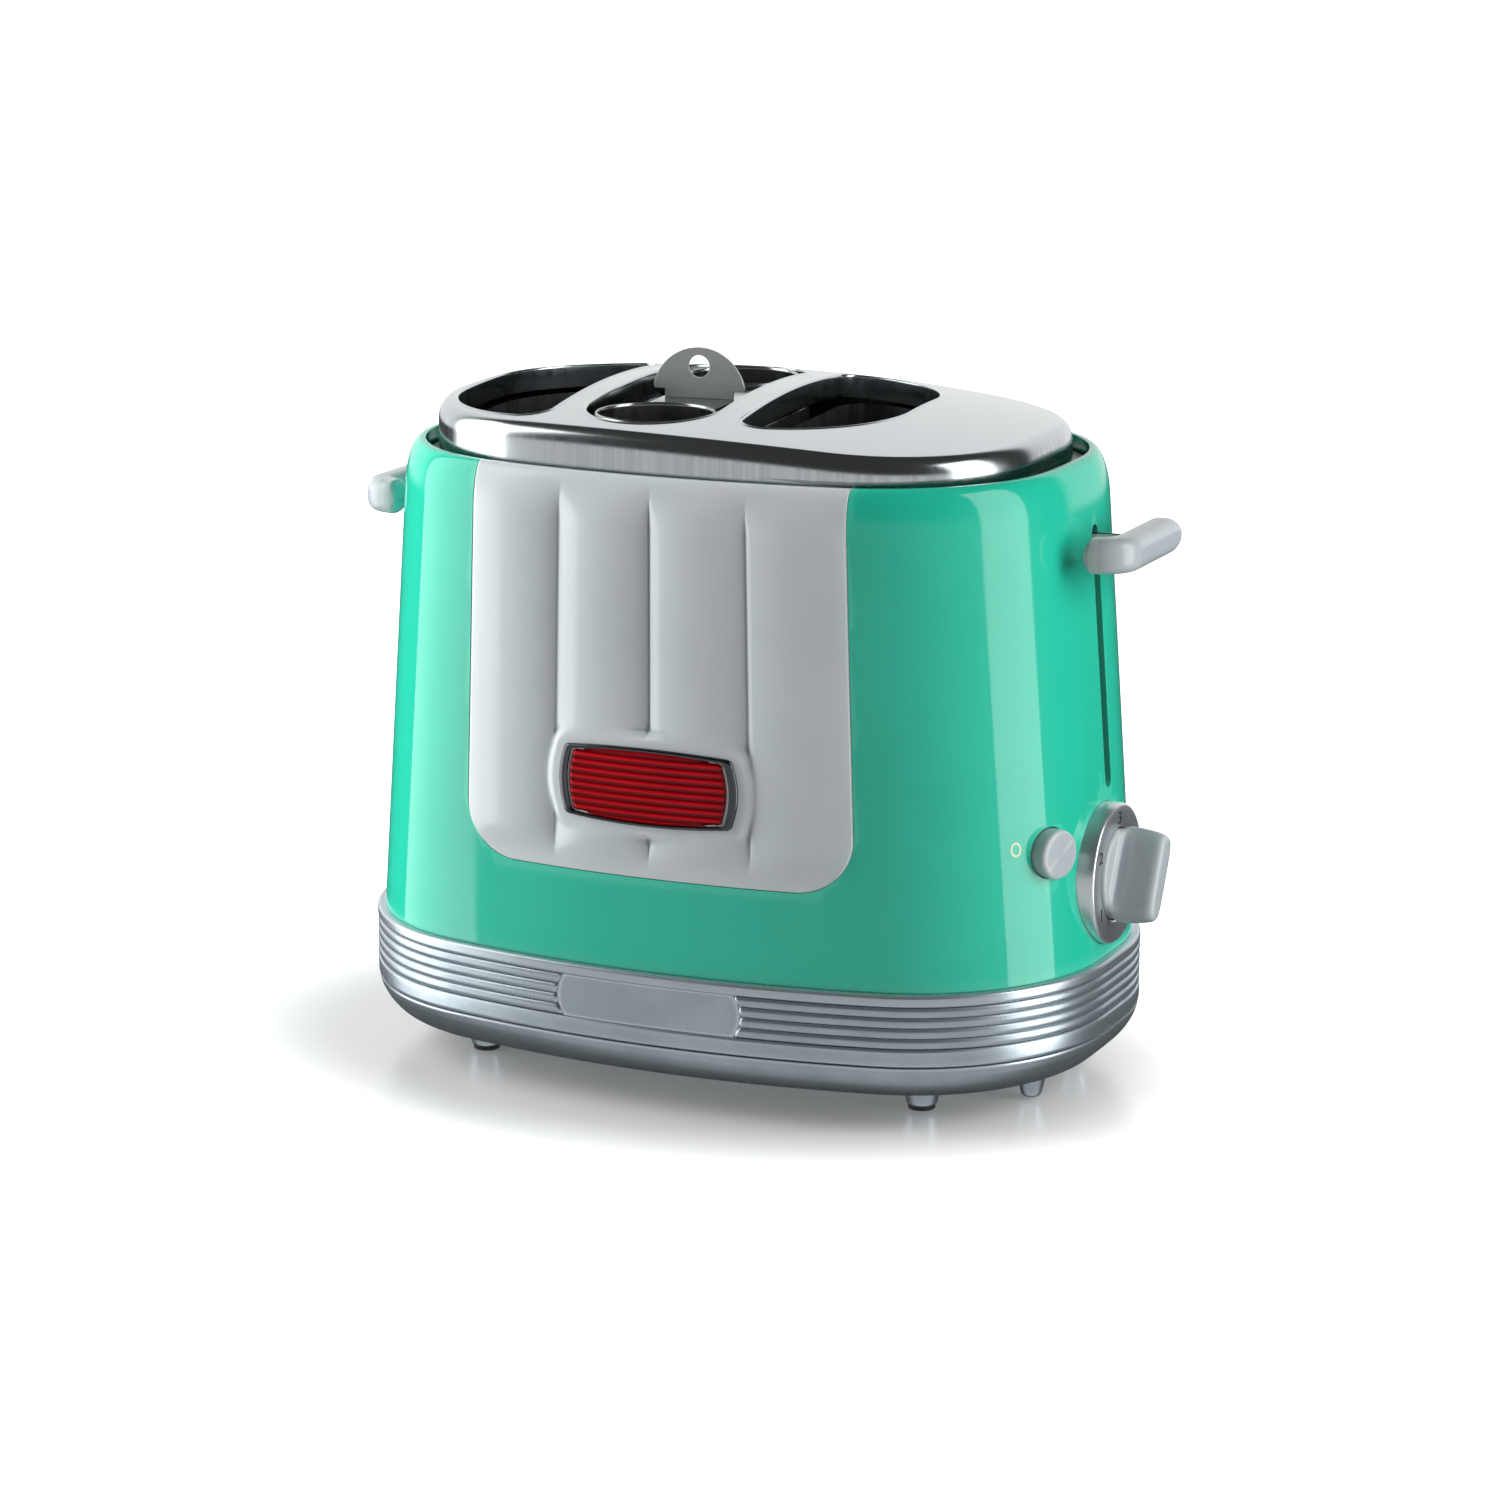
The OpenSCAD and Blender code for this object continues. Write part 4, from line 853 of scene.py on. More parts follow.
rings = [band_ring(off, z) for off, z in ((1.8, 24.3), (2.4, 24.45), (2.75, 24.9), (2.9, 25.6), (2.9, 27.5),
                                          (2.9, 29.6), (2.75, 30.2), (2.4, 30.5))]
rings += [band_ring(0, RIB_Z0 + (i + (u + 1) / 2) * RIB_PITCH, u) for i in range(4) for u in RIB_STEPS]
rings += [band_ring(off, z) for off, z in ((1.9, 45.6), (2.45, 45.85), (2.85, 46.3), (3.0, 46.9), (3.0, 48.6),
                                           (2.85, 49.3), (2.45, 49.8), (1.9, 50.0), (0.4, 50.0), (-1.0, 50.0),
                                           (-1.0, 24.0), (1.4, 24.0))]
band = lofted("base_band", rings, loop=True)
tray_front = lofted("crumb_tray_front", rings, loop=True)
carve(band, block("cut_tray", *TRAY_GAP))
carve(band, turned("cut_inlet", [(INLET_HOLE, 0), (INLET_HOLE, 60)], INLET_SPOT, (0, 1, 0), (1, 0, 0), 48))
carve(tray_front, block("keep_tray", *TRAY_FRONT), "INTERSECT")
dress(band, "housing", "silver_paint", ["base_band"], sharp=40, weighted=True)

# %% Bare plate in its recess
PLATE_FACES = 2.0, 0.95
grids = []
for off in PLATE_FACES:
    grid = []
    for level in np.linspace(RIB_Z0 - 0.15, RIB_Z0 + 4 * RIB_PITCH + 0.15, 24):
        x = np.linspace(-1, 1, 60) * (plate_half(level) + 0.2)
        grid.append(np.column_stack([x, face_y(foot_b, off, x), np.full_like(x, level)]))
    grids.append(grid)
dress(plate("front_plate", *grids), "housing", "silver_paint", ["front_plate"])

# %% [markdown]
# ## Crumb tray
#
# The tray slides in from behind, under both wells, and its front is a piece of the band. It is pressed
# from one sheet: here its pan is an outer and an inner loop joined by the wall's thickness.

# %% Crumb tray
dress(tray_front, "crumb_tray", "silver_paint", ["crumb_tray"], sharp=40, weighted=True)
rear = points[points[:, 1] > 0]
rear = rear[np.argsort(rear[:, 0])]
TRAY_WALL = (1.2, 25.6), (1.2, 30.3), (0, 30.3), (0, 24.8)


def tray_loop(inset, z):
    """Outline of the tray's pan, whose rear side follows the band."""
    xs = np.linspace(-104 + inset, 58 - inset, 40)
    ys = np.interp(xs, rear[:, 0], rear[:, 1]) - 0.6 - inset
    return [(x, y, z) for x, y in zip(xs, ys)] + [(x, -66 + inset, z) for x in xs[::-1]]


tray_pan = lofted("crumb_tray_pan", [tray_loop(inset, z) for inset, z in TRAY_WALL], caps=True)
dress(tray_pan, "crumb_tray", "galvanised_sheet", ["crumb_tray"])

# %% [markdown]
# ## Pan, feet and pegs
#
# Under the band the pan curves in to a flat bottom on four short feet with rubber pads. Two tapered pegs
# at the timer end hold a wound cord. All of them are turned or pressed shapes, so smooth curves through a
# few measured points are enough, and the screw holes are cut where the screws sit.

# %% Pan
def smooth_profile(knots, steps=5):
    """Curve through the knots, which eases at each of them."""
    knots = np.array(knots, float)
    ends = np.concatenate([[2 * knots[0] - knots[1]], knots, [2 * knots[-1] - knots[-2]]])
    curve = []
    for k in range(1, len(ends) - 2):
        p0, p1, p2, p3 = ends[k - 1:k + 3]
        for t in np.linspace(0, 1, steps, endpoint=False):
            curve.append(0.5 * (2 * p1 + (p2 - p0) * t + (2 * p0 - 5 * p1 + 4 * p2 - p3) * t ** 2
                                + (3 * p1 - p0 - 3 * p2 + p3) * t ** 3))
    return curve + [knots[-1]]


profile = smooth_profile([(-22, 9.5), (-11, 10.4), (-5, 12.6), (-1.2, 16), (1.4, 20), (2.4, 22.8)])
profile += [(2.5, 23.4), (2.4, 23.8), (2.1, 24.0), (-3, 24.0), (-8, 15), (-20, 12)]
SCREW_SPOTS = (-117, -24), (-117, 24), (78, -60), (78, 60), (118, 0)
pan = lofted("base_pan", [ring_of(foot_a, foot_b, off, z) for off, z in profile], caps=True)
for x, y in SCREW_SPOTS:
    carve(pan, turned("cut_screw", [(3.1, 0), (3.1, 12.35)], (x, y, 0), steps=32))
dress(pan, "housing", "silver_paint", ["base_pan"], sharp=40, weighted=True)

# %% Feet, pads and pegs
FOOT_SPOTS = [(sx * 86, sy * 48) for sx in (-1, 1) for sy in (-1, 1)]
PEG_SPOTS = [(117, sy * 22) for sy in (-1, 1)]


def many_turned(name, profile, spots, look, node):
    """The same turned piece on several spots."""
    shell = Shell()
    for x, y in spots:
        shell.loft(turned_rings(profile, (x, y, 0), steps=48), caps=True)
    dress(make(name, shell), "housing", look, [node])


many_turned("feet", [(3.0, 1.6), (4.4, 1.6), (5.0, 1.75), (5.4, 2.15), (5.6, 2.8), (6.3, 6.0),
                     (7.0, 9.0), (7.2, 10.2)], FOOT_SPOTS, "silver_paint", "feet")
many_turned("foot_pads", [(4.2, 0.0), (4.6, 0.1), (4.8, 0.4), (4.8, 1.7)], FOOT_SPOTS, "rubber_pad",
            "foot_pads")
many_turned("cord_pegs", [(2.2, 1.2), (2.9, 1.3), (3.4, 1.7), (3.7, 2.3), (4.2, 4.5), (4.8, 7.2), (5.4, 9.2),
                          (6.2, 10.6)], PEG_SPOTS, "silver_paint", "cord_hooks")

# %% [markdown]
# ## Lid
#
# The lid is a polished cover, gently crowned, with two bun wells and a long slot for the cage, all turned
# a few degrees. It is pressed from one sheet, so its edge rolls down to a skirt and each opening is turned
# in. A grid of rings would pinch between three openings. A triangulated crown with fixed loops round the
# openings stays even, and every loop then continues as a rolled edge.

# %% Outlines of the lid and its openings
GROUP_X = -22.0
GROUP_TURN = math.radians(5)
LID_IN = 4.6
LID_DROP = 6.5
LID_WALL = 1.1
SKIRT_Z = 217.9
CROWN_Z = 243.0
LID_SIZE = 121.1, 88.5
LID_GAP = 9.0


def crown(xy):
    return CROWN_Z - 0.0006 * (xy[..., 0] - GROUP_X) ** 2 - 0.001 * xy[..., 1] ** 2


def on_crown(xy, drop=0.0):
    return raised(xy, crown(xy) - drop)


def lid_plan(off):
    flat, outward = plan(*LID_SIZE)
    return flat + (off - LID_GAP) * outward - (0.5, 0)


def placed(uv):
    """Points of the turned group, in the plan of the toaster."""
    c, s = math.cos(GROUP_TURN), math.sin(GROUP_TURN)
    return np.column_stack([GROUP_X + uv[:, 0] * c - uv[:, 1] * s, uv[:, 0] * s + uv[:, 1] * c])


def arc(cx, cy, r, start, stop, count):
    t = np.linspace(start, stop, count, endpoint=False)
    return np.column_stack([cx + r * np.cos(t), cy + r * np.sin(t)])


def line(start, stop, count):
    t = np.linspace(0, 1, count, endpoint=False)[:, None]
    return np.array(start) + t * (np.array(stop) - np.array(start))


def well(off):
    """Bun well on the timer side: a flat inner side, round shoulders and small inner corners."""
    flat, big, small, half = 35.5, 47.5, 9.0, 14.5
    turn = math.acos(small / (big - small))
    cy = half + (big - small) * math.sin(turn)
    near, far = flat - off, flat + big + off
    upper = np.concatenate([line((far, 0), (far, half), 6), arc(flat, half, big + off, 0, turn, 40),
                            arc(flat + small, cy, small + off, turn, math.pi, 18),
                            line((near, cy), (near, 0), 14), [(near, 0)]])
    return placed(np.concatenate([upper, upper[-2:0:-1] * (1, -1)]))


def cage_slot(off):
    half, r = 43.5, 24.2 + off
    return placed(np.concatenate([arc(0, half, r, 0, math.pi, 40), line((-r, half), (-r, -half), 18),
                                  arc(0, -half, r, math.pi, 2 * math.pi, 40),
                                  line((r, -half), (r, half), 18)]))


def far_well(off):
    return well(off) * (-1, -1) + (2 * GROUP_X, 0)


openings = (well, far_well, cage_slot)
print("lid outline", lid_plan(0).min(0).round(1), lid_plan(0).max(0).round(1))

# %% Crown with three openings
GRID = 4.5
CLEAR = 2.5
OPENING_OUT = 1.6
loops = [lid_plan(-LID_IN)] + [opening(OPENING_OUT) for opening in openings]


def on_sheet(points, clear=0.0):
    """Which points lie inside the lid and outside its openings, at least clear away from their lines."""
    inside = outside(points, loops[0]) < -clear
    return inside & np.all([outside(points, loop) > clear for loop in loops[1:]], axis=0)


steps = np.stack(np.meshgrid(np.arange(-110, 111, GRID), np.arange(-78, 79, GRID)), -1).reshape(-1, 2)
steps = steps + (np.arange(len(steps)) % 2)[:, None] * (0.0, 0.3)
flat = np.concatenate(loops + [steps[on_sheet(steps, CLEAR)]])
ends = np.cumsum([0] + [len(loop) for loop in loops]).tolist()
spans = list(zip(ends, ends[1:]))
fixed = [(i, i + 1 if i + 1 < stop else start) for start, stop in spans for i in range(start, stop)]
result = delaunay_2d_cdt([Vector(p) for p in flat.tolist()], fixed, [], 0, 1e-5)
flat = np.array([tuple(p) for p in result[0]])
index_of = {old: new for new, olds in enumerate(result[3]) for old in olds}
kept = on_sheet(np.array([flat[list(face)].mean(0) for face in result[2]]))

shell = Shell()
top = shell.ring(on_crown(flat))
low = shell.ring(on_crown(flat, LID_WALL))
for face, keep in zip(result[2], kept):
    if keep:
        shell.faces.append(tuple(top[i] for i in face))
        shell.faces.append(tuple(low[i] for i in reversed(face)))
print("crown of", len(shell.faces), "faces")

# %% Rolled edges and skirt of the lid
def chain(span, rings):
    """Edge that goes from the top of the sheet over the rings to its underside."""
    edge = [index_of[i] for i in range(*span)]
    made = [[top[i] for i in edge]] + [shell.ring(r) for r in rings] + [[low[i] for i in edge]]
    for one, other in zip(made, made[1:]):
        shell.join(one, other)


turns = np.radians(np.linspace(84, 0, 15))
bend = [(-LID_IN * (1 - math.cos(t)), LID_DROP * (1 - math.sin(t))) for t in turns]
skirt = ((0, 225.0), (0, SKIRT_Z + 0.3), (-0.3, SKIRT_Z), (-LID_WALL, SKIRT_Z), (-LID_WALL, 225.0))
under = ((-LID_WALL, LID_DROP + 0.3), (-2.6, 3.2), (-4.0, 1.7))
chain(spans[0], [on_crown(lid_plan(off), drop) for off, drop in bend + [(0, 10.0)]]
      + [raised(lid_plan(off), z) for off, z in skirt]
      + [on_crown(lid_plan(off), drop) for off, drop in under])
ROLL = ((1.2, -0.08), (0.8, -0.3), (0.45, -0.35), (0.15, -0.1), (0, 0.5), (0, 4.0), (0, 8.0),
        (0.8, 8.0), (0.8, 1.8))
for opening, span in zip(openings, spans[1:]):
    chain(span, [on_crown(opening(off), drop) for off, drop in ROLL])
dress(make("lid_cover", shell), "housing", "polished_steel", ["lid_cover"], sharp=40, weighted=True)

# %% [markdown]
# ## Sausage cage
#
# Two deep cups with tall windows hang on a bridge, and a half-round tab with a hole lifts the whole cage
# out. Each cup is drawn from sheet and its rim is rolled to a bead. Turning the profile and then punching
# the windows follows the same steps. The tab is a flat plate, so it starts as a filled curve with a small
# bevel; the bridge and the foot strip are plain enough to keep from the frame.

# %% Cups
CUP_Z = 239.0
CUP_LOW = 115.8
CUP_SPACING = 44.5
CUP_WINDOWS = 8
PUNCH_HALF = 4.5
PUNCH_REACH = 17, 25
PUNCH_Z = CUP_LOW + 16, CUP_Z - 28
profile = [(0.3, CUP_LOW), (19.4, CUP_LOW), (20.3, CUP_LOW + 0.2), (20.7, CUP_LOW + 0.6),
           (20.8, CUP_LOW + 1.2), (20.8, 236.6), (21.1, 236.8), (21.4, 237.3), (21.5, 237.9), (21.4, 238.5),
           (21.1, 238.9), (20.7, 239.05), (20.3, 238.9), (20.08, 238.5), (20.0, 237.9), (20.0, CUP_LOW + 2.0),
           (19.7, CUP_LOW + 1.3), (19.0, CUP_LOW + 1.0), (0.3, CUP_LOW + 1.0)]
for name, side in (("cup_front", -1), ("cup_rear", 1)):
    centre = placed(np.array([(0.0, side * CUP_SPACING)]))[0]
    cup = turned(name, profile, (*centre, 0), loop=True)
    shell = Shell()
    for i in range(CUP_WINDOWS):
        turn = math.radians((i + 0.5) * 360 / CUP_WINDOWS) + GROUP_TURN
        out = np.array((math.cos(turn), math.sin(turn)))
        aside = np.array((-out[1], out[0]))
        near, far = (centre + out * reach for reach in PUNCH_REACH)
        ends = [spot + aside * way * PUNCH_HALF for spot, way in ((near, -1), (far, -1), (far, 1), (near, 1))]
        shell.loft([[(*end, z) for end in ends] for z in PUNCH_Z], caps=True)
    carve(cup, make("cut_windows", shell))
    dress(cup, "cage", "cage_steel", [name], sharp=40, weighted=True)

# %% Pieces from curves
def from_curve(name, curve, place):
    """Piece from a filled curve; place takes each of its points to its spot in the frame."""
    drawn = add_object(name, curve)
    mesh = final_mesh(drawn)
    bpy.data.objects.remove(drawn)
    for vertex in mesh.vertices:
        vertex.co = place(*vertex.co)
    return add_object(name, mesh)


print("from_curve ready")

# %% Lifting tab
BRIDGE_Z = CUP_Z - 2.0
TAB_R, TAB_LIFT, TAB_THICK = 17.6, 0.7, 1.2
LEG_H, LEG_X, FOOT_X = 3.0, 16.6, 13.0
HOLE_R, HOLE_DOWN = 4.0, 6.8
EDGE = 0.2


def circle(r, z, turns):
    return [(r * math.cos(t), z + r * math.sin(t)) for t in turns]


start = math.asin((LEG_H + EDGE - TAB_LIFT) / (TAB_R - EDGE)) + 0.05
tab_line = [(FOOT_X - EDGE, EDGE), (FOOT_X - EDGE, LEG_H + EDGE), (LEG_X, LEG_H + EDGE)]
tab_line += circle(TAB_R - EDGE, TAB_LIFT, np.linspace(start, math.pi - start, 72))
tab_line += [(-LEG_X, LEG_H + EDGE), (EDGE - FOOT_X, LEG_H + EDGE), (EDGE - FOOT_X, EDGE)]
hole = circle(HOLE_R + EDGE, TAB_LIFT + TAB_R - HOLE_DOWN, np.linspace(2 * math.pi, 0, 40, endpoint=False))
curve = bpy.data.curves.new("tab_line", "CURVE")
curve.dimensions = "2D"
curve.fill_mode = "BOTH"
curve.extrude = (TAB_THICK / 2 - EDGE) * MM
curve.bevel_depth = EDGE * MM
curve.bevel_resolution = 2
for loop in (tab_line, hole):
    spline = curve.splines.new("POLY")
    spline.points.add(len(loop) - 1)
    spline.points.foreach_set("co", [v for x, y in loop for v in (x * MM, y * MM, 0, 1)])
    spline.use_cyclic_u = True
c, s = math.cos(GROUP_TURN), math.sin(GROUP_TURN)
tab = from_curve("cage_tab", curve,
                 lambda u, v, w: (GROUP_X * MM + u * c + w * s, u * s - w * c, BRIDGE_Z * MM + v))
dress(tab, "cage", "satin_steel", ["cage_tab"], sharp=40)

# %% [markdown]
# ## Levers
#
# Each lever is a moulded bar along the end of the toaster. Its rear end is fully round, seen from the side.
# In front it bends towards the body and ends in a round nose. The path is a list of places with a
# heading, and a soft section is swept along it, which draws in over the last millimetres at both ends. The
# arm is a plain strip that ends inside the bar, with a moulded sleeve round the part that shows.

# %% Levers, arms and sleeves
ARM_Z = 194.5
LEVER_Z = 196.0
LEVER_OUT = 150.6
LEVER_FRONT = -24.6
LEVER_BACK = 31.0
LEVER_T = 11.6
LEVER_H = 12.6
BEND_R = 8.6
NOSE = 2.8
ARM_END = 146.0
SLEEVE_ENDS = 118.5, 143.0
SLEEVE_HALF = ((4.8, 5), (4.5, 6.6), (3.6, 7.6), (2.2, 8), (-2.2, 8), (-3.6, 7.6), (-4.5, 6.6), (-4.8, 5))


def squared(turn, wide, high, wide_power=2 / 2.9, high_power=2 / 2.9):
    """Point of an ellipse with fuller corners."""
    c, s = math.cos(turn), math.sin(turn)
    return wide * math.copysign(abs(c) ** wide_power, c), high * math.copysign(abs(s) ** high_power, s)


def lever_path():
    """Places of the bar's middle line as (x, y, heading, reach to the end), from the rear to the front."""
    mid_x, mid_y = LEVER_OUT - LEVER_T / 2, LEVER_FRONT + LEVER_T / 2
    bend_x, bend_y = mid_x - BEND_R, mid_y + BEND_R
    ends = 1 - np.cos(np.radians(np.arange(6, 91, 7)))
    path = [(mid_x, LEVER_BACK - LEVER_H / 2 * e, 0.0, e) for e in ends]
    path += [(mid_x, y, 0.0, 1.0) for y in np.linspace(LEVER_BACK - LEVER_H / 2, bend_y, 12)[1:-1]]
    path += [(bend_x + BEND_R * math.cos(t), bend_y - BEND_R * math.sin(t), t, 1.0)
             for t in np.radians(np.linspace(0, 90, 16))]
    return path + [(bend_x - NOSE * (1 - e), mid_y, math.pi / 2, e) for e in ends[::-1]]


def lever_ring(x, y, heading, reach, side):
    """Soft section of the bar across its path; it draws in where the end is near."""
    thick = LEVER_T / 2 - 1.6 * (1 - math.sqrt(1 - max(0.0, 1 - 3 * reach) ** 2))
    high = LEVER_H / 2 * math.sqrt(1 - (1 - reach) ** 2)
    section = [squared(t, thick, high) for t in np.linspace(0, 2 * math.pi, 56, endpoint=False)]
    return [(side * (x + n * math.cos(heading)), y - n * math.sin(heading), LEVER_Z + h) for n, h in section]


for end, side in (("left", -1), ("right", 1)):
    lever = lofted("lever_" + end, [lever_ring(*place, side) for place in lever_path()], caps=True)
    dress(lever, "carriage", "pale_gloss", ["lever_" + end], sharp=60)
    low, high = (np.array(corner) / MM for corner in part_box("lever_arm_" + end))
    start = low[0] if side > 0 else high[0]
    strip = [(low[1], low[2]), (high[1], low[2]), (high[1], high[2]), (low[1], high[2])]
    arm = lofted("lever_arm_" + end + "_strip",
                 [[(x, y, z) for y, z in strip] for x in (start, side * ARM_END)], caps=True)
    dress(arm, "carriage", "galvanised_sheet", ["lever_arm_" + end])
    ring = [(way * w / 2, way * h / 2) for way in (1, -1) for w, h in SLEEVE_HALF]
    sleeve = lofted("lever_" + end + "_sleeve", [[(side * x, SLOT_Y + w, ARM_Z + h) for w, h in ring]
                                                 for x in SLEEVE_ENDS], caps=True)
    dress(sleeve, "carriage", "pale_gloss", sharp=60)

# %% [markdown]
# ## Stop button and browning dial
#
# The button is a flat pale disc with a soft bevel. The dial is a silver ring that stands off the end wall,
# printed with numbers from 1 to 5, and a white knob with a blade across it turns in its recess. Turned
# profiles give button, ring and disc. The blade is a stack of bar outlines that draws in towards its face
# and flares where it meets the disc.

# %% Stop button
profile = [(0.2, -10.0), (3.0, -10.0), (3.0, -6.0), (8.4, -6.0), (8.7, -5.7), (8.7, 3.4), (8.62, 4.0),
           (8.35, 4.5), (7.9, 4.82), (7.3, 4.97), (6.5, 5.0), (0.2, 5.0)]
dress(turned("stop_button", profile, *BUTTON_LINE, 72), "stop_button", "pale_gloss", ["stop_button"], sharp=50)

# %% Dial ring
DIAL_X = 140.0
profile = [(3.6, 125.0), (25.0, 125.0), (25.0, 138.9), (24.85, 139.4), (24.5, 139.8), (23.9, 140.0),
           (17.3, 140.0), (16.8, 139.85), (16.5, 139.4), (16.5, 131.0), (3.6, 131.0)]
dress(turned("dial_ring", profile, *DIAL_LINE, 128, loop=True), "housing", "silver_dial", ["dial_ring"],
      sharp=50)

# %% Numbers on the ring
NUMBER_R = 19.9
NUMBER_SIZE = 6.2
NUMBER_WIDEN = 1.45
for text, turn in (("1", 216), ("2", 152), ("3", 88), ("4", 24), ("5", -40)):
    curve = bpy.data.curves.new("number", "FONT")
    curve.body = text
    curve.size = NUMBER_SIZE * MM
    curve.extrude = 0.04 * MM
    curve.align_x = curve.align_y = "CENTER"
    y, z = NUMBER_R * math.cos(math.radians(turn)), DIAL_Z + NUMBER_R * math.sin(math.radians(turn))
    number = from_curve("dial_number_" + text, curve,
                        lambda u, v, w: ((DIAL_X + 0.05) * MM + w, y * MM + NUMBER_WIDEN * u, z * MM + v))
    dress(number, "housing", "dial_ink", sharp=30)

# %% Knob with its blade
KNOB_TURN = math.radians(27)
along = np.array((0, math.sin(KNOB_TURN), math.cos(KNOB_TURN)))
aside = np.array((0, math.cos(KNOB_TURN), -math.sin(KNOB_TURN)))


def blade_ring(x, reach, thick):
    """Bar outline with round corners: reach is its half length and thick its half thickness."""
    turns = np.linspace(0, 2 * math.pi, 96, endpoint=False)
    section = [squared(t, reach, thick, 2 / 5.0, 2 / 2.8) for t in turns]
    return [np.array((x, 0, DIAL_Z)) + u * along + v * aside for u, v in section]


disc = [(3.0, 132.0), (15.7, 132.0), (16.0, 132.4), (16.0, 139.9), (15.85, 140.5), (15.4, 140.9),
        (14.6, 141.1), (3.0, 141.4)]
blade = [(139.9, 15.6, 10.5), (141.3, 15.9, 9.6), (141.9, 16.6, 8.2), (142.8, 17.0, 7.1), (144.2, 17.1, 6.4),
         (146.5, 17.0, 6.1), (150.0, 16.6, 5.9), (153.0, 16.1, 5.7), (154.6, 15.7, 5.45), (155.6, 15.2, 5.0),
         (156.2, 14.5, 4.3), (156.45, 13.6, 3.4), (156.5, 12.4, 2.2)]
shell = Shell()
shell.loft(turned_rings(disc, *DIAL_LINE), caps=True)
shell.loft([blade_ring(*ring) for ring in blade], caps=True)
dress(make("timer_knob", shell), "timer_knob", "pale_gloss", ["timer_knob"], sharp=45)

# %% [markdown]
# ## Pieces kept from the frame
#
# Sheet parts, boards, rods, springs and linings inside are plain shapes that already have their real form
# in the frame, so they keep it and only take their finish.

# %% Finish of the pieces kept from the frame
bpy.context.view_layer.update()
kept_nodes = [name for name, thing in frame["nodes"].items() if not thing.hide_render]
for name in kept_nodes:
    thing = frame["nodes"][name]
    thing.data.materials.clear()
    thing.data.materials.append(materials[slot_of[name]])
print(len(kept_nodes), "nodes keep their shape:", ", ".join(sorted(kept_nodes)))

# %% [markdown]
# ## Light and floor
#
# The photograph shows a catalogue studio: a white room, a large soft light from the left, a narrower one
# from the right rear, and a dark front that the gloss reflects between them. Two softboxes give the bright
# bands with clear edges on the body, and two more fill its ends without being mirrored. The world gives the
# rest: white to the camera, a calm grey for the fill, and for reflections a bright back wall, a dark ceiling
# and a pale floor.

# %% Softboxes
SOFTBOX_Z = 0.50
SOFTBOX_HEIGHT = 1.9


def softbox(name, azimuth, distance, width, watts, mirrored=True):
    """Upright area light that looks at the toaster from an azimuth off the front."""
    data = bpy.data.lights.new(name, "AREA")
    data.shape = "RECTANGLE"
    data.size, data.size_y = width, SOFTBOX_HEIGHT
    data.energy = watts
    lamp = add_object(name, data)
    turn = math.radians(azimuth)
    away = Vector((math.sin(turn) * distance, -math.cos(turn) * distance, 0))
    lamp.location = away + Vector((0, 0, SOFTBOX_Z))
    lamp.rotation_euler = away.to_track_quat("Z", "Y").to_euler()
    lamp.visible_camera = False
    lamp.visible_glossy = mirrored


softbox("light_left", -73.0, 1.2, 1.05, 15)
softbox("light_right", 93.5, 1.3, 0.70, 13)
softbox("fill_left", -84.0, 1.2, 1.30, 40, mirrored=False)
softbox("fill_right", 90.0, 1.3, 1.10, 15, mirrored=False)
print("four softboxes placed")

# %% World: white behind, grey fill and a room for the reflections
BACK_WALL = 0.95
LOW_FRONT = 0.56
ROOM_GREY = 0.045
FILL_GREY = 0.12

world = bpy.data.worlds.new("studio")
world.use_nodes = True
tree = world.node_tree
tree.nodes.clear()
ray = add_node(tree, "LightPath").outputs
direction = add_node(tree, "TexCoord").outputs["Generated"]


def along_axis(axis):
    """Part of the looking direction that goes along an axis."""
    return math_node(tree, "DOT_PRODUCT", direction, axis, kind="VectorMath", result="Value")


def product(first, second):
    return math_node(tree, "MULTIPLY", first, second)


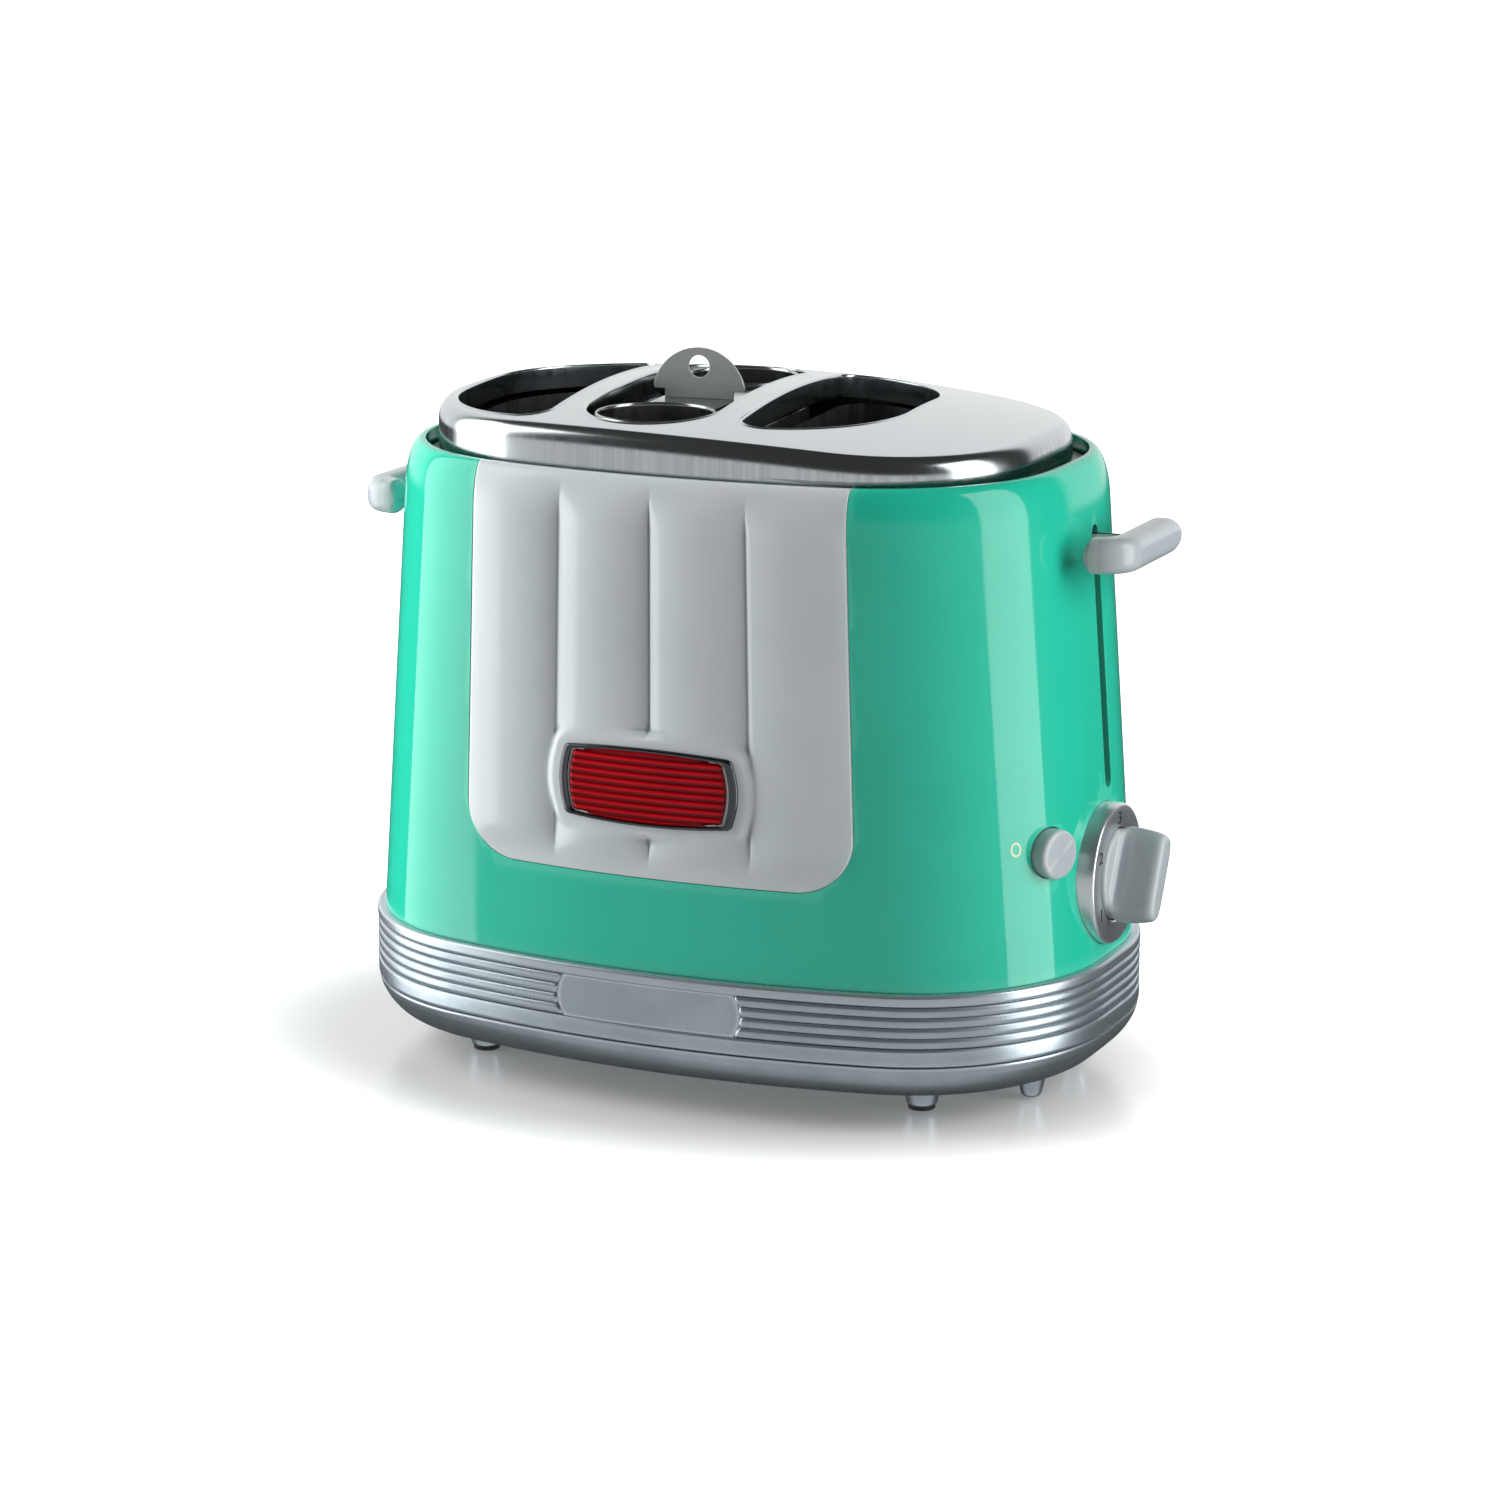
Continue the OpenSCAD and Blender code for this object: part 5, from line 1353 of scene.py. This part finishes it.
towards = along_axis((math.sin(VIEW_TURN), -math.cos(VIEW_TURN), 0))
height = along_axis((0, 0, 1))
back_wall = product(map_range(tree, towards, -0.50, -0.70), map_range(tree, height, 0.72, 0.60))
back_wall = product(back_wall, map_range(tree, height, -0.14, -0.06))
low_front = product(map_range(tree, towards, -0.3, 0.3), map_range(tree, height, 0.25, 0.0))
room = math_node(tree, "ADD", product(back_wall, BACK_WALL), product(low_front, LOW_FRONT))
room = math_node(tree, "ADD", room, ROOM_GREY)
mirror_ray = math_node(tree, "MAXIMUM", ray["Is Glossy Ray"], ray["Is Transmission Ray"])
other_ray = math_node(tree, "SUBTRACT", 1.0, mirror_ray)
level = math_node(tree, "ADD", product(mirror_ray, room), product(other_ray, FILL_GREY))
level = math_node(tree, "MAXIMUM", level, ray["Is Camera Ray"])
background = add_node(tree, "Background", Color=(1, 1, 1, 1), Strength=level)
add_node(tree, "OutputWorld", Surface=background.outputs[0])
bpy.context.scene.world = world
print("world ready")

# %% Floor that keeps the shadow, with a painted shadow round the footprint, and melts into the white
FLOOR_HALF = 6000
FLOOR_TONE = 0.58
floor = block("floor", (-FLOOR_HALF, -FLOOR_HALF, -8), (FLOOR_HALF, FLOOR_HALF, 0))
paper = bpy.data.materials.new("floor_paper")
paper.use_nodes = True
tree = paper.node_tree
shader = tree.nodes["Principled BSDF"].inputs
shader["Base Color"].default_value = (FLOOR_TONE, FLOOR_TONE, FLOOR_TONE, 1)
shader["Roughness"].default_value = 0.22
spot = add_node(tree, "TexCoord").outputs["Object"]
fibre = add_node(tree, "TexNoise", Scale=60.0, Vector=spot)
relief = add_node(tree, "Bump", Strength=0.02, Distance=0.0005, Height=fibre.outputs["Fac"])
tree.links.new(relief.outputs["Normal"], shader["Normal"])
# Seen from the camera the floor glows white, but over an oval round the footprint the glow falls to a tenth: a
# painted shadow.
painted_shadow_place = add_node(tree, "Mapping", Location=(0.0176, 0.010, 0.0), Scale=(0.732, 1.0, 1.0), Vector=spot)
away = math_node(tree, "LENGTH", painted_shadow_place.outputs[0], kind="VectorMath", result="Value")
glow_past_painted_shadow = map_range(tree, away, 0.092, 0.178, 0.10, 1.1)
seen = add_node(tree, "LightPath").outputs["Is Camera Ray"]
shader["Emission Color"].default_value = (1, 1, 1, 1)
tree.links.new(product(glow_past_painted_shadow, seen), shader["Emission Strength"])
floor.data.materials.append(paper)
floor.visible_glossy = False
print("floor ready")

# %% [markdown]
# ## Picture
#
# Standard view keeps white paper white and the teal clean.

# %% View
bpy.context.scene.view_settings.view_transform = "Standard"
